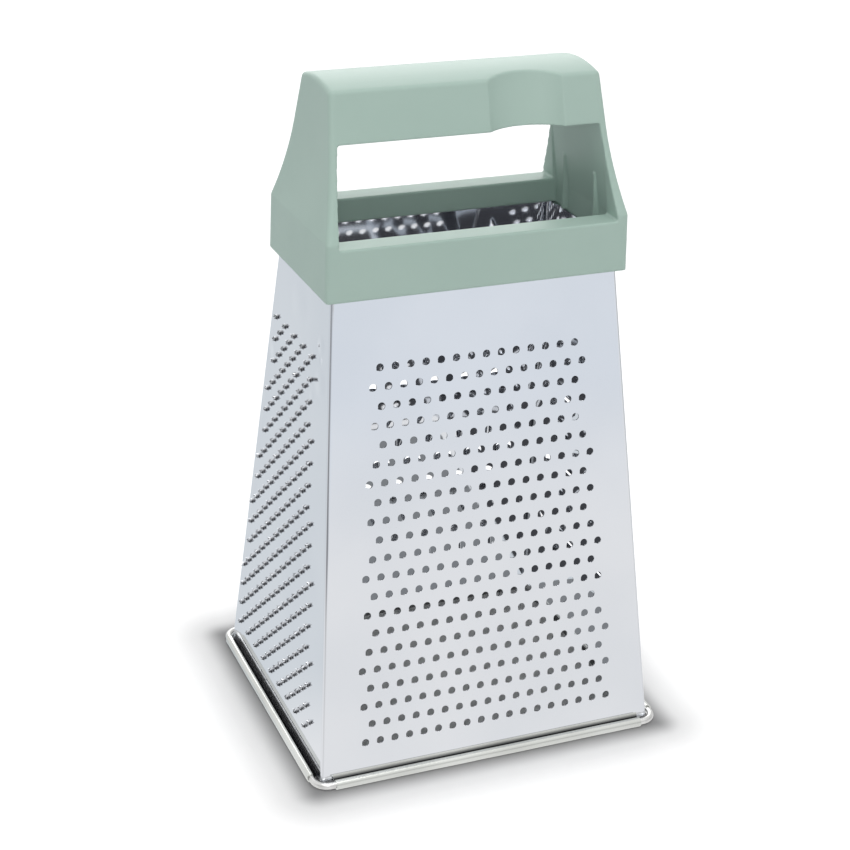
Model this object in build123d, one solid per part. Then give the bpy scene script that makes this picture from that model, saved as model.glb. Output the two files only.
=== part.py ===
"""Four-sided box grater: a folded sheet steel body, the wire ring rolled into its hem,
and a one-piece moulded handle that snaps over its top edge.

Millimetres, +Z up. The origin is on the floor, under the middle of the body.
The wide face with the fine round holes looks along -Y, the rasp looks along -X,
the coarse shredder along +Y and the slicer along +X.
"""
from build123d import *
import os
from math import acos, atan, atan2, cos, degrees, pi, sin, sqrt

os.makedirs("parts", exist_ok=True)

# Sheet body, outside sizes of its taper at the floor and at its top edge
base_width = 107.6
base_depth = 91.4
top_width = 86.0
top_depth = 42.8
body_top = 154.6
sheet = 0.4
fold_radius = 1.3
body_foot = 1.6
side_edge_drop = 4.0

# Each field starts foot up its sheet and ends head short of the sheet's top edge. It keeps
# the margins to the folds at its lowest and at its highest row.

# Fine face: plain round holes in staggered rows
fine_hole = 2.2
fine_pitch = 4.64
fine_row_pitch = 5.65
fine_foot = 11.6
fine_head = 30.0
fine_margin_low = 11.4
fine_margin_high = 12.8

# Rasp: burst nail holes on small cones
rasp_pitch = 8.16
rasp_row_pitch = 3.5
rasp_foot = 10.9
rasp_head = 30.6
rasp_margin_low = 6.6
rasp_margin_high = 9.9
rasp_shift = 4.5
rasp_base = 3.0
rasp_tip = 1.9
rasp_height = 1.0
rasp_hole = 1.3

# Coarse shredder: hooded teeth with their mouths to the top
tooth_pitch = 10.8
tooth_row_pitch = 9.6
tooth_foot = 23.0
tooth_head = 34.0
tooth_margin = 11.0
tooth_mouth = 5.8
tooth_length = 6.6
tooth_sink = 1.1

# Slicer: raised blades over open slots
blade_spacing = 26.0
blade_foot = 33.0
blade_head = 40.0
blade_margin_low = 8.5
blade_margin_high = 10.3
blade_length = 9.0
blade_rise = 1.7
blade_slot = 3.4

# Lock seam inside the fold between the coarse face and the slicer
seam_width = 5.0
seam_layers = 2
seam_setback = 1.6
seam_bond = 0.1

# Catches of the handle and their windows in the rasp's and the slicer's sheet
catch_rise = 1.2
catch_tall = 2.0
catch_width = 8.0
catch_reach = 0.5
catch_clearance = 0.3

# Hem rolled outward round a wire
wire = 2.0
wire_clearance = 0.05
wire_stand_off = 1.8
wire_bend = 4.2
wire_joint_gap = 0.5
hem_flat = 0.1
hem_top = 3.4
hem_end = 3.8
hem_start_angle = 125.0

# Handle, outside: its levels are stacked from the sheet's top edge
band_drop = 11.4
rim_rise = 3.6
flare_rise = 1.6
finger_gap = 26.4
grip_height = 15.4
band_spread_width = 6.0
band_spread_depth = 9.0
band_draft_width = 0.6
band_draft_depth = 1.0
flare_steps = 3
grip_foot_width = 83.4
grip_foot_depth = 31.4
grip_draft_width = 2.5
grip_draft_depth = 8.6
grip_dome = 1.5
handle_corner = 1.4
top_round = 1.4

# Handle, inside: finger window, throat, pockets in the end walls and their ribs
end_wall_low = 3.5
end_wall_high = 2.4
rim_step = 3.7
pocket_depth = 0.9
pocket_margin = 3.6
skirt_drop = 2.8
sheet_clearance = 0.25
rib_half_spacing = 10.2
rib_thickness = 1.2
rib_reach = 1.5
rib_rise = 9.8

# Core of the grip, open to below
grip_wall = 2.6
grip_roof = 3.4
core_end_wall = 5.0
core_rib_count = 3

# Thumb scallop in the grip's front
scallop_middle = 17.2
scallop_width = 21.4
scallop_depth = 3.4

# Cuts run on past their faces by this much
overrun = 1.0

side_slope = (base_width - top_width) / 2 / body_top
front_slope = (base_depth - top_depth) / 2 / body_top

band_foot = body_top - band_drop
rim_top = body_top + rim_rise
flare_foot = rim_top + flare_rise
grip_foot = rim_top + finger_gap
overall_height = grip_foot + grip_height
skirt_foot = body_top - skirt_drop
pocket_top = grip_foot - pocket_margin
rib_top = rim_top + rib_rise
catch_foot = band_foot + catch_rise

band_width = top_width + band_spread_width
band_depth = top_depth + band_spread_depth
flare_foot_width = band_width - band_draft_width
flare_foot_depth = band_depth - band_draft_depth
grip_top_width = grip_foot_width - grip_draft_width
grip_top_depth = grip_foot_depth - grip_draft_depth
window_half_foot = flare_foot_width / 2 - end_wall_low
window_half_top = grip_foot_width / 2 - end_wall_high
throat_half_depth = top_depth / 2 - rim_step


def half_width(z):
    """Half of the body's outside width at height z."""
    return base_width / 2 - side_slope * z


def half_depth(z):
    """Half of the body's outside depth at height z."""
    return base_depth / 2 - front_slope * z


def taper(low, high, foot, head, radius):
    """A pyramid's stump between two levels, from their widths and depths, with its four folds rounded."""
    step_x = (low[0] - high[0]) / 2
    step_y = (low[1] - high[1]) / 2
    wedge = Solid.make_wedge(low[0], head - foot, low[1], step_x, step_y, low[0] - step_x, low[1] - step_y)
    placed = Pos(-low[0] / 2, low[1] / 2, foot) * Rot(90, 0, 0) * wedge
    folds = [edge for edge in placed.edges() if abs((edge @ 1).Z - (edge @ 0).Z) > sheet]
    return fillet(folds, radius)


def frustum(inset, foot, head, radius):
    """The body's taper from foot to head, its walls moved in by inset, its folds rounded."""
    in_x = inset / cos(atan(side_slope))
    in_y = inset / cos(atan(front_slope))
    low = (2 * (half_width(foot) - in_x), 2 * (half_depth(foot) - in_y))
    high = (2 * (half_width(head) - in_x), 2 * (half_depth(head) - in_y))
    return taper(low, high, foot, head, radius)


def wall_plane(half_run, slope, turn):
    """Plane on the outside of a wall: x to the right as seen from outside, y up the sheet."""
    lean = atan(slope)
    out = Vector(0, -1, 0).rotate(Axis.Z, turn)
    right = Vector(1, 0, 0).rotate(Axis.Z, turn)
    return Plane(origin=out * half_run, x_dir=right, z_dir=out * cos(lean) + Vector(0, 0, sin(lean)))


front_wall = wall_plane(base_depth / 2, front_slope, 0)
slicer_wall = wall_plane(base_width / 2, side_slope, 90)
rear_wall = wall_plane(base_depth / 2, front_slope, 180)
rasp_wall = wall_plane(base_width / 2, side_slope, 270)


def front_half(run):
    """Half of the width of the front and rear sheets, run up the sheet from the floor."""
    return half_width(run * cos(atan(front_slope)))


def side_half(run):
    """Half of the width of the rasp's and the slicer's sheets, run up the sheet from the floor."""
    return half_depth(run * cos(atan(side_slope)))


def row_runs(slope, foot, head, row_pitch):
    """How far up its sheet each row of a field lies, from the lowest row to the highest."""
    slant = body_top / cos(atan(slope))
    return [foot + row * row_pitch for row in range(int((slant - head - foot) / row_pitch) + 1)]


def row_halves(runs, sheet_half, margin_low, margin_high):
    """Half length of each row of a field, from its sheet's half width and the margins to the folds."""
    low = sheet_half(runs[0]) - margin_low
    high = sheet_half(runs[-1]) - margin_high
    return [low + (high - low) * (run - runs[0]) / (runs[-1] - runs[0]) for run in runs]


def staggered(runs, halves, pitch, first):
    """Places of a field of staggered rows."""
    places = []
    for row, (run, half) in enumerate(zip(runs, halves)):
        reach = int(half / (pitch / 2))
        for column in range(-reach, reach + 1):
            if (column + row) % 2 == first:
                places.append((column * pitch / 2, run))
    return places


def on_wall(plane, shape, places):
    """Copies of a shape at places on a wall."""
    return [plane.location * Pos(x, y, 0) * shape for x, y in places]


def through_hole(diameter):
    """Cutter for a round hole through the sheet and anything raised on it."""
    depth = sheet + overrun + rasp_height + overrun
    return Pos(0, 0, -sheet - overrun) * Solid.make_cylinder(diameter / 2, depth)


def fine_places():
    """Centres of the fine face's holes."""
    runs = row_runs(front_slope, fine_foot, fine_head, fine_row_pitch)
    halves = row_halves(runs, front_half, fine_margin_low, fine_margin_high)
    return staggered(runs, halves, fine_pitch, 1)


def rasp_places():
    """Centres of the rasp's points, moved towards the rear fold."""
    runs = row_runs(side_slope, rasp_foot, rasp_head, rasp_row_pitch)
    halves = row_halves(runs, side_half, rasp_margin_low, rasp_margin_high)
    return [(x - rasp_shift, y) for x, y in staggered(runs, halves, rasp_pitch, 0)]


def tooth_places():
    """Centres of the coarse teeth's mouths."""
    runs = row_runs(front_slope, tooth_foot, tooth_head, tooth_row_pitch)
    halves = row_halves(runs, front_half, tooth_margin, tooth_margin)
    return staggered(runs, halves, tooth_pitch, 1)


def half_cone(grow):
    """A cone lying on the sheet, apex to the foot, sunk a little below the outside face."""
    radius = sqrt((tooth_mouth / 2) ** 2 + tooth_sink ** 2) + grow
    length = tooth_length * radius / (radius - grow)
    cone = Pos(0, -length, -tooth_sink) * Rot(-90, 0, 0) * Solid.make_cone(0, radius, length)
    return cone


def tooth_hood():
    """The raised hood of one coarse tooth, solid: the mouth is cut afterwards."""
    span = tooth_mouth + 2 * sheet + 2 * overrun
    above = Pos(0, 0, (span - sheet) / 2) * Box(span, 2 * tooth_length + 2 * overrun, span)
    return half_cone(sheet) & Pos(0, 0, -sheet / 2) * above


def tooth_cutter():
    """The space under one hood, and the round half of its hole above the mouth."""
    reach = sheet + overrun
    pit = Pos(0, 0, -reach) * Solid.make_cylinder(tooth_mouth / 2, reach + overrun)
    foot = Pos(0, -tooth_mouth, 0) * Box(2 * tooth_mouth, 2 * tooth_mouth, 4 * reach)
    tip = -tooth_length * tooth_mouth / (tooth_mouth + sheet)
    under = Polygon((-tooth_mouth / 2, 0), (0, tip), (tooth_mouth / 2, 0), align=None)
    slit = Pos(0, 0, -reach) * extrude(under, reach)
    above = Pos(0, 0, tooth_mouth) * Box(4 * tooth_mouth, 4 * tooth_length, 2 * tooth_mouth)
    return [pit - foot, half_cone(0) & above, slit]


def blade_places():
    """How far up the sheet each slicer blade's edge lies, and half of its length."""
    runs = row_runs(side_slope, blade_foot, blade_head, blade_spacing)
    return list(zip(runs, row_halves(runs, side_half, blade_margin_low, blade_margin_high)))


def blade_profile(edge, thickness):
    """Section of a blade that climbs from the sheet to its edge, in the wall's y and outward axes."""
    foot = edge - blade_length
    under = blade_rise - thickness
    return Polygon((foot, 0), (edge, blade_rise), (edge, under), (foot, -thickness), align=None)


def blade_parts(edge, half):
    """One slicer blade with its two closed ends, and the cutter for its slot."""
    across = Plane(origin=(0, 0, 0), x_dir=(0, 1, 0), z_dir=(1, 0, 0))
    foot = edge - blade_length
    strip = extrude(across * blade_profile(edge, sheet), half, both=True)
    outline = Polygon((foot, 0), (edge, blade_rise), (edge, -sheet), (foot, -sheet), align=None)
    cheek = extrude(across * outline, sheet / 2, both=True)
    cheeks = [Pos(side * (half - sheet / 2), 0, 0) * cheek for side in (-1, 1)]
    tall = blade_length + blade_slot
    middle = foot + tall / 2
    slot = Pos(0, middle, 0) * Box(2 * half, tall, 2 * (sheet + overrun))
    return [strip] + cheeks, slot


def hem_section(half_run, slope):
    """Section of a hem: x outward from the middle of the part, y up."""
    mid = wire / 2 + wire_clearance + sheet / 2
    centre_x = half_run + wire_stand_off
    centre_y = mid + sheet / 2 - hem_flat
    outer_x = half_run - slope * hem_top
    inner_x = outer_x - sheet / cos(atan(slope))
    start_x = (outer_x + inner_x) / 2
    run_x = centre_x - start_x
    run_y = centre_y - hem_top
    distance = sqrt(run_x ** 2 + run_y ** 2)
    touch = atan2(-run_y, -run_x) + acos(mid / distance)
    if touch < 0:
        touch += 2 * pi

    def ring(radius, angle):
        return (centre_x + radius * cos(angle), centre_y + radius * sin(angle))

    inner_radius = mid - sheet / 2
    outer_radius = mid + sheet / 2
    top_outside = (outer_x, hem_top)
    top_inside = (inner_x, hem_top)
    web = Polygon(top_outside, ring(inner_radius, touch), ring(outer_radius, touch), top_inside, align=None)
    sweep_angle = 360 + hem_start_angle - degrees(touch)
    outside = CenterArc((centre_x, centre_y), outer_radius, degrees(touch), sweep_angle)
    inside = CenterArc((centre_x, centre_y), inner_radius, degrees(touch), sweep_angle)
    start = Line(outside @ 0, inside @ 0)
    end = Line(outside @ 1, inside @ 1)
    roll = make_face(outside + inside + start + end)
    return web + roll


def wire_height():
    """Height of the wire's centre line."""
    return wire / 2 + wire_clearance + sheet - hem_flat


def hem(half_run, slope, half_length, turn):
    """One rolled hem along a side of the body."""
    section = Plane(origin=(0, 0, 0), x_dir=(0, -1, 0), z_dir=(-1, 0, 0)) * hem_section(half_run, slope)
    return Rot(0, 0, turn) * extrude(section, half_length, both=True)


def seam():
    """Folded layers of the lock seam, flat on the slicer wall's inside beside the rear fold."""
    thickness = seam_layers * sheet + seam_bond
    sections = []
    for z in (hem_top, side_edge()):
        x = half_width(z) - sheet / cos(atan(side_slope)) + seam_bond - thickness / 2
        y = half_depth(z) - seam_setback - seam_width / 2
        sections.append(Pos(x, y, z) * Rectangle(thickness, seam_width))
    return loft(sections, ruled=True)


def side_edge():
    """Height of the top edge of the rasp's and the slicer's sheet."""
    return body_top - side_edge_drop


def catch_windows():
    """Cutters for the windows that the handle's catches reach into."""
    tall = catch_tall + 2 * catch_clearance
    return Pos(0, 0, catch_foot + catch_tall / 2) * Box(base_width, catch_width + 2 * catch_clearance, tall)


def grater_body():
    """The folded, punched and hemmed sheet."""
    outside = frustum(0, body_foot, body_top, fold_radius)
    inside = frustum(sheet, body_foot - overrun, body_top + overrun, fold_radius - sheet)
    shell = outside - inside

    # The narrow walls end lower, under the handle's ends
    tall = side_edge_drop + overrun
    gap = 2 * (half_depth(body_top) - fold_radius)
    shell -= Pos(0, 0, body_top + overrun - tall / 2) * Box(2 * top_width, gap, tall)

    # Sheet between the corner notches goes over to the hems
    hem_tall = hem_top - body_foot + overrun
    long_x = half_width(0) - hem_end
    long_y = half_depth(0) - hem_end
    shell -= Pos(0, 0, hem_top - hem_tall / 2) * Box(2 * long_x, 2 * base_depth, hem_tall)
    shell -= Pos(0, 0, hem_top - hem_tall / 2) * Box(2 * base_width, 2 * long_y, hem_tall)

    # What stands out of the sheet
    raised = on_wall(rasp_wall, Solid.make_cone(rasp_base / 2, rasp_tip / 2, rasp_height), rasp_places())
    raised += on_wall(rear_wall, tooth_hood(), tooth_places())
    slots = []
    for edge, half in blade_places():
        strips, slot = blade_parts(edge, half)
        slots.append(slicer_wall.location * slot)
        raised += [slicer_wall.location * strip for strip in strips]
    shell -= slots
    shell += raised

    # What goes through it
    cutters = on_wall(front_wall, through_hole(fine_hole), fine_places())
    cutters += on_wall(rasp_wall, through_hole(rasp_hole), rasp_places())
    for cutter in tooth_cutter():
        cutters += on_wall(rear_wall, cutter, tooth_places())
    shell -= cutters + [catch_windows()]

    shell += seam()
    for half_run, slope, half_length, turns in (
        (base_depth / 2, front_slope, long_x, (0, 180)),
        (base_width / 2, side_slope, long_y, (90, 270)),
    ):
        for turn in turns:
            shell += hem(half_run, slope, half_length, turn)
    floor = Pos(0, 0, -overrun / 2) * Box(2 * base_width, 2 * base_depth, overrun)
    return shell - floor


def base_wire():
    """The bent wire that stiffens the hem, its ends meeting behind the rear hem."""
    width = base_width + 2 * wire_stand_off
    depth = base_depth + 2 * wire_stand_off
    path = (Pos(0, 0, wire_height()) * RectangleRounded(width, depth, wire_bend)).wire()
    start = Plane(origin=path @ 0, z_dir=path % 0)
    ring = sweep(start * Circle(wire / 2), path)
    return ring - Pos(0, depth / 2, wire_height()) * Box(wire_joint_gap, 2 * wire, 2 * wire)


def rounded(width, depth, z):
    """A level rounded rectangle of the handle's outline."""
    return Pos(0, 0, z) * RectangleRounded(width, depth, handle_corner)


def grip_size(z, inset):
    """Width and depth of the grip's taper at height z, moved in by inset."""
    share = (z - grip_foot) / (overall_height - grip_foot)
    width = grip_foot_width + (grip_top_width - grip_foot_width) * share
    depth = grip_foot_depth + (grip_top_depth - grip_foot_depth) * share
    return width - 2 * inset, depth - 2 * inset


def grip_block():
    """The grip's outside: a taper with a slightly domed top and rounded edges."""
    foot, head = grip_foot, overall_height
    block = taper(grip_size(foot, 0), grip_size(head, 0), foot, head, handle_corner)
    side = grip_foot_depth / 2
    edge = (overall_height - grip_dome) - grip_dome * (side ** 2 / (grip_top_depth / 2) ** 2 - 1)
    dome = ThreePointArc((-side, edge), (0, overall_height), (side, edge))
    over = overall_height + overrun
    section = make_face(dome + Polyline(dome @ 1, (side, over), (-side, over), dome @ 0))
    block -= extrude(Plane.YZ * section, grip_foot_width, both=True)
    level = [face for face in block.faces() if face.normal_at().Z > cos(atan(2 * grip_dome / side))]
    return fillet(max(level, key=lambda face: face.area).outer_wire().edges(), top_round)


def flare(grip_underside):
    """The concave flare between the band and the grip: it runs into the grip's taper."""
    sections = []
    line_width, line_depth = grip_size(flare_foot, 0)
    for step in range(flare_steps):
        share = step / flare_steps
        z = flare_foot + (grip_foot - flare_foot) * share
        width, depth = grip_size(z, 0)
        bulge = (1 - share) ** 2
        sections.append(rounded(width + (flare_foot_width - line_width) * bulge,
                                depth + (flare_foot_depth - line_depth) * bulge, z))
    return loft(sections + [grip_underside])


def handle_block():
    """The handle's outside as one solid."""
    foot = rounded(band_width, band_depth, band_foot)
    band = loft([foot, rounded(flare_foot_width, flare_foot_depth, flare_foot)], ruled=True)
    grip = grip_block()
    return band + flare(grip.faces().sort_by(Axis.Z)[0]) + grip


def window_half(z):
    """Half length of the finger window at height z."""
    share = (z - rim_top) / (grip_foot - rim_top)
    return window_half_foot + (window_half_top - window_half_foot) * share


def along_y(points, half_length):
    """A prism along Y over an outline in X and Z, mirrored to the other end of the handle too."""
    outline = make_face(Polyline(*points, close=True))
    prism = extrude(Plane.XZ * outline, half_length, both=True)
    return [prism, Rot(0, 0, 180) * prism]


def finger_window():
    """Cutters for the window, and for the throat under it with its pockets in the end walls."""
    foot, head = window_half_foot, window_half_top
    opening = Polyline((-foot, rim_top), (foot, rim_top), (head, grip_foot), (-head, grip_foot), close=True)
    window = extrude(Plane.XZ * make_face(opening), band_depth, both=True)
    floor = window_half_foot + pocket_depth
    low = end_wall_foot()
    wall = [(floor, low), (floor, rim_top), (window_half(pocket_top), pocket_top)]
    return [window] + along_y([(0, low)] + wall + [(0, pocket_top)], throat_half_depth)


def end_wall_foot():
    """Height of the undersides of the handle's end walls, just over the sheet."""
    return side_edge() + sheet_clearance


def scallop(grow):
    """Cutter for the thumb scallop, along the grip's leaning front, or the same grown by a wall."""
    radius = (scallop_width ** 2 / 4 + scallop_depth ** 2) / (2 * scallop_depth)
    rise = overall_height - grip_foot
    lean = degrees(atan((grip_foot_depth - grip_top_depth) / 2 / rise))
    middle = -(grip_foot_depth + grip_top_depth) / 4 - radius + scallop_depth
    tool = Cylinder(radius + grow, 4 * rise)
    return Pos(scallop_middle, middle, (grip_foot + overall_height) / 2) * Rot(-lean, 0, 0) * tool


def scallop_space():
    """The thumb scallop, within the height of the grip."""
    rise = 2 * (overall_height - grip_foot)
    return scallop(0) & Pos(0, 0, grip_foot + rise / 2) * Box(band_width, band_depth, rise)


def grip_core():
    """Space cored out of the grip from below, between a lengthwise rib and its cross ribs."""
    roof = overall_height - grip_roof
    half_length = window_half_top - core_end_wall
    block = Pos(0, 0, (grip_foot + roof) / 2) * Box(2 * half_length, band_depth, roof - grip_foot)
    low, high = grip_size(grip_foot, grip_wall), grip_size(roof, grip_wall)
    walls = taper(low, high, grip_foot, roof, handle_corner)
    inner = (walls & block) - scallop(grip_wall)
    inner -= Pos(0, 0, overall_height / 2) * Box(band_width, grip_wall, overall_height)
    gap = 2 * half_length / (core_rib_count + 1)
    rib = Pos(0, 0, overall_height / 2) * Box(grip_wall, band_depth, overall_height)
    for number in range(1, core_rib_count + 1):
        inner -= Pos(number * gap - half_length, 0, 0) * rib
    return inner


def end_ribs():
    """Tapered ribs that stand on the floors of the end walls' pockets."""
    floor = window_half_foot + pocket_depth
    back = floor + pocket_depth
    crest = floor - rib_reach
    low = end_wall_foot()
    points = [(back, low), (crest, low), (crest, rim_top), (window_half(rib_top), rib_top), (back, rib_top)]
    ribs = []
    for side in (-1, 1):
        for rib in along_y(points, rib_thickness / 2):
            ribs.append(Pos(0, side * rib_half_spacing, 0) * rib)
    return ribs


def catches():
    """Catches inside the band's ends, ramped below, that snap into the sheet's windows."""
    top = catch_foot + catch_tall
    tip = half_width(top) - sheet / cos(atan(side_slope)) - catch_reach
    root = half_width(catch_foot) + sheet_clearance + sheet
    return along_y([(root, catch_foot), (tip, top), (root, top)], catch_width / 2)


def sheet_seat():
    """Cutter for the sheet: the whole taper up to the skirt, then a groove round it."""
    wide = frustum(-sheet_clearance, band_foot - overrun, body_top, fold_radius + sheet_clearance)
    skirt = frustum(sheet + sheet_clearance, skirt_foot, body_top + overrun, fold_radius)
    groove = wide - skirt
    tall = body_top - end_wall_foot()
    between = 2 * (half_depth(body_top) - fold_radius - sheet - sheet_clearance)
    return groove - Pos(0, 0, body_top - tall / 2) * Box(band_width, between, tall)


def handle():
    """The moulded handle: band, rim, two end walls and the grip."""
    body = handle_block() - scallop_space() - finger_window() - grip_core() - sheet_seat()
    return body + end_ribs() + catches()


if __name__ == "__main__":
    nodes = {"grater_body": grater_body(), "base_wire": base_wire(), "handle": handle()}
    for name, shape in nodes.items():
        export_step(shape, f"parts/{name}.step")
        print(name, len(shape.solids()), "solids", round(shape.volume, 1), "mm3")
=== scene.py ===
"""Looks of a four-sided box grater: punched steel faces, rolled hems, a bent wire and a moulded handle.

The classes hold their sizes in millimetres and make their meshes in metres, in the frame of
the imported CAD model: the floor is at zero, the fine holes look along -Y and the rasp along -X.
"""

import logging
import math
from collections.abc import Iterator
from contextlib import contextmanager
from dataclasses import dataclass
from enum import Enum

import bmesh
import bpy
import numpy as np
from mathutils import Matrix, Vector
from mathutils.geometry import tessellate_polygon


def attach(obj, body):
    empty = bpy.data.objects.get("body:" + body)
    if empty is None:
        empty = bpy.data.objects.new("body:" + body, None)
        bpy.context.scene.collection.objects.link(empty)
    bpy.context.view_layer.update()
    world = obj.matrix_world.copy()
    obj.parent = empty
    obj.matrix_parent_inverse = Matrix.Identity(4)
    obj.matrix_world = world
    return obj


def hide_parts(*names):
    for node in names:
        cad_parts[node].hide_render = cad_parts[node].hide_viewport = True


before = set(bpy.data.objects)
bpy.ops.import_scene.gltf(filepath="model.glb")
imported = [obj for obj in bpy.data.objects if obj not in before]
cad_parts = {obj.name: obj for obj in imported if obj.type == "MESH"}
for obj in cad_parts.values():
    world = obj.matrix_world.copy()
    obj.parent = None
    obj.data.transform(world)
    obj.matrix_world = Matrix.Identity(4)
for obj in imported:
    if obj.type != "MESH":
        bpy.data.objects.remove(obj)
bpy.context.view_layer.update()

logging.basicConfig(level=logging.INFO, format="%(message)s")
log = logging.getLogger("grater")

MM = 0.001
WELD = 0.002
# Vertex attribute that darkens the steel: mostly painted shade, partly oxide on the torn rasp crowns.
SHADE_AND_GRIME = "shade_and_grime"
SHARP_SHEET = 30.0
SHARP_ROLLED = 40.0
SHARP_MOULDED = 60.0
HEM_SEED = 3.0
HEM_SEED_STEP = 7.0

Point = tuple[float, float, float]
Colour = tuple[float, float, float]
Range = tuple[float, float]


# Node graphs

class Value:
    """A number in a node graph. An expression on values adds the Math nodes that work it out."""

    def __init__(self, graph: "Graph", source: bpy.types.NodeSocket) -> None:
        """Keeps the graph and the socket that the number comes out of."""
        self.graph = graph
        self.source = source

    def math(self, operation: str, *others: "Value | float") -> "Value":
        """One Math node on this value and others.

        Args:
            operation: the Math node's operation.
            others: its second and third operands.

        Returns:
            The node's result.
        """
        inputs = dict(enumerate((self, *others)))
        return self.graph.value("ShaderNodeMath", {"operation": operation}, inputs)

    def __add__(self, other: "Value | float") -> "Value":
        """Sum."""
        return self.math("ADD", other)

    __radd__ = __add__

    def __mul__(self, other: "Value | float") -> "Value":
        """Product."""
        return self.math("MULTIPLY", other)

    __rmul__ = __mul__

    def __sub__(self, other: "Value | float") -> "Value":
        """Difference."""
        return self.math("SUBTRACT", other)

    def __rsub__(self, other: float) -> "Value":
        """Difference from a plain number."""
        return (self * -1.0) + other

    def __truediv__(self, other: "Value | float") -> "Value":
        """Quotient."""
        return self.math("DIVIDE", other)

    def __rtruediv__(self, other: float) -> "Value":
        """Quotient of a plain number and this value."""
        return self.power(-1.0) * other

    def __neg__(self) -> "Value":
        """Negative."""
        return self * -1.0

    def __abs__(self) -> "Value":
        """Size without its sign."""
        return self.math("ABSOLUTE")

    def power(self, exponent: float) -> "Value":
        """This value to a power."""
        return self.math("POWER", exponent)

    def above(self, limit: "Value | float") -> "Value":
        """One where this value is over the limit, zero elsewhere."""
        return self.math("GREATER_THAN", limit)

    def below(self, limit: "Value | float") -> "Value":
        """One where this value is under the limit, zero elsewhere."""
        return self.math("LESS_THAN", limit)

    def ramp(self, low: float, high: float) -> "Value":
        """Smooth step from zero at low to one at high.

        Args:
            low: the value at which the step starts.
            high: the value at which it ends.

        Returns:
            The step.
        """
        node = self.graph.node("ShaderNodeMapRange", {"interpolation_type": "SMOOTHSTEP"},
                               {"Value": self, "From Min": low, "From Max": high})
        return Value(self.graph, node.outputs["Result"])


class Graph:
    """A node tree, of a material, the world or Geometry Nodes, with one way to add a node."""

    def __init__(self, tree: bpy.types.NodeTree) -> None:
        """Keeps the tree."""
        self.tree = tree

    def node(self, kind: str, settings: dict | None = None, inputs: dict | None = None) -> bpy.types.Node:
        """Adds a node.

        Args:
            kind: the node's type.
            settings: its own settings, set first.
            inputs: values or links of its sockets, by name or number.

        Returns:
            The new node.
        """
        made = self.tree.nodes.new(kind)
        for name, setting in (settings or {}).items():
            setattr(made, name, setting)
        for key, given in (inputs or {}).items():
            self.feed(made.inputs[key], given)
        return made

    def value(self, kind: str, settings: dict | None, inputs: dict, output: int | str = 0) -> Value:
        """Adds a node and returns one of its outputs as a value.

        Args:
            kind: the node's type.
            settings: its own settings.
            inputs: values or links of its sockets.
            output: name or number of the output.

        Returns:
            The output, ready for expressions.
        """
        return Value(self, self.node(kind, settings, inputs).outputs[output])

    def feed(self, socket: bpy.types.NodeSocket, given: object) -> None:
        """Links a value or a socket to an input, or sets the input to a constant.

        Args:
            socket: the input.
            given: a value, a socket or a constant.
        """
        if isinstance(given, Value):
            given = given.source
        if isinstance(given, bpy.types.NodeSocket):
            self.tree.links.new(given, socket)
        else:
            socket.default_value = given

    def axes(self, vector: bpy.types.NodeSocket) -> tuple[Value, Value, Value]:
        """The three numbers of a vector."""
        split = self.node("ShaderNodeSeparateXYZ", None, {0: vector})
        return tuple(Value(self, output) for output in split.outputs)

    def noise(self, place: bpy.types.NodeSocket, scale: float, detail: float = 2.0) -> Value:
        """Noise from zero to one.

        Args:
            place: coordinates.
            scale: cells in a metre.
            detail: number of finer layers.

        Returns:
            The noise.
        """
        inputs = {"Vector": place, "Scale": scale, "Detail": detail}
        return self.value("ShaderNodeTexNoise", None, inputs)

    def stretched(self, place: bpy.types.NodeSocket, share: Point) -> bpy.types.NodeSocket:
        """Coordinates scaled along each axis."""
        return self.node("ShaderNodeMapping", None, {"Vector": place, "Scale": share}).outputs[0]

    def tint(self, factor: Value, low: "Colour | bpy.types.NodeSocket",
             high: "Colour | bpy.types.NodeSocket") -> bpy.types.NodeSocket:
        """Colour between two colours, each plain or worked out.

        Args:
            factor: zero gives low, one gives high.
            low: first colour.
            high: second colour.

        Returns:
            The mixed colour.
        """
        low, high = ((*colour, 1.0) if isinstance(colour, tuple) else colour for colour in (low, high))
        return self.node("ShaderNodeMix", {"data_type": "RGBA"}, {0: factor, 6: low, 7: high}).outputs[2]


class Slot(Enum):
    """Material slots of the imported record."""

    SHEET = "sheet_steel"
    WIRE = "wire_steel"
    PLASTIC = "sage_plastic"


# Finishes

def new_material(name: str) -> tuple[bpy.types.Material, Graph, bpy.types.Node, bpy.types.NodeSocket]:
    """A material with only a Principled shader.

    Args:
        name: its name.

    Returns:
        The material, its graph, the shader and the Object coordinates.
    """
    material = bpy.data.materials.new(name)
    material.use_nodes = True
    graph = Graph(material.node_tree)
    shader = material.node_tree.nodes["Principled BSDF"]
    place = graph.node("ShaderNodeTexCoord").outputs["Object"]
    return material, graph, shader, place


@dataclass(frozen=True)
class Dent:
    """A round bulge of the sheet, or a dent where its height is negative, in millimetres."""

    centre: Point
    radius: float
    height: float


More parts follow.
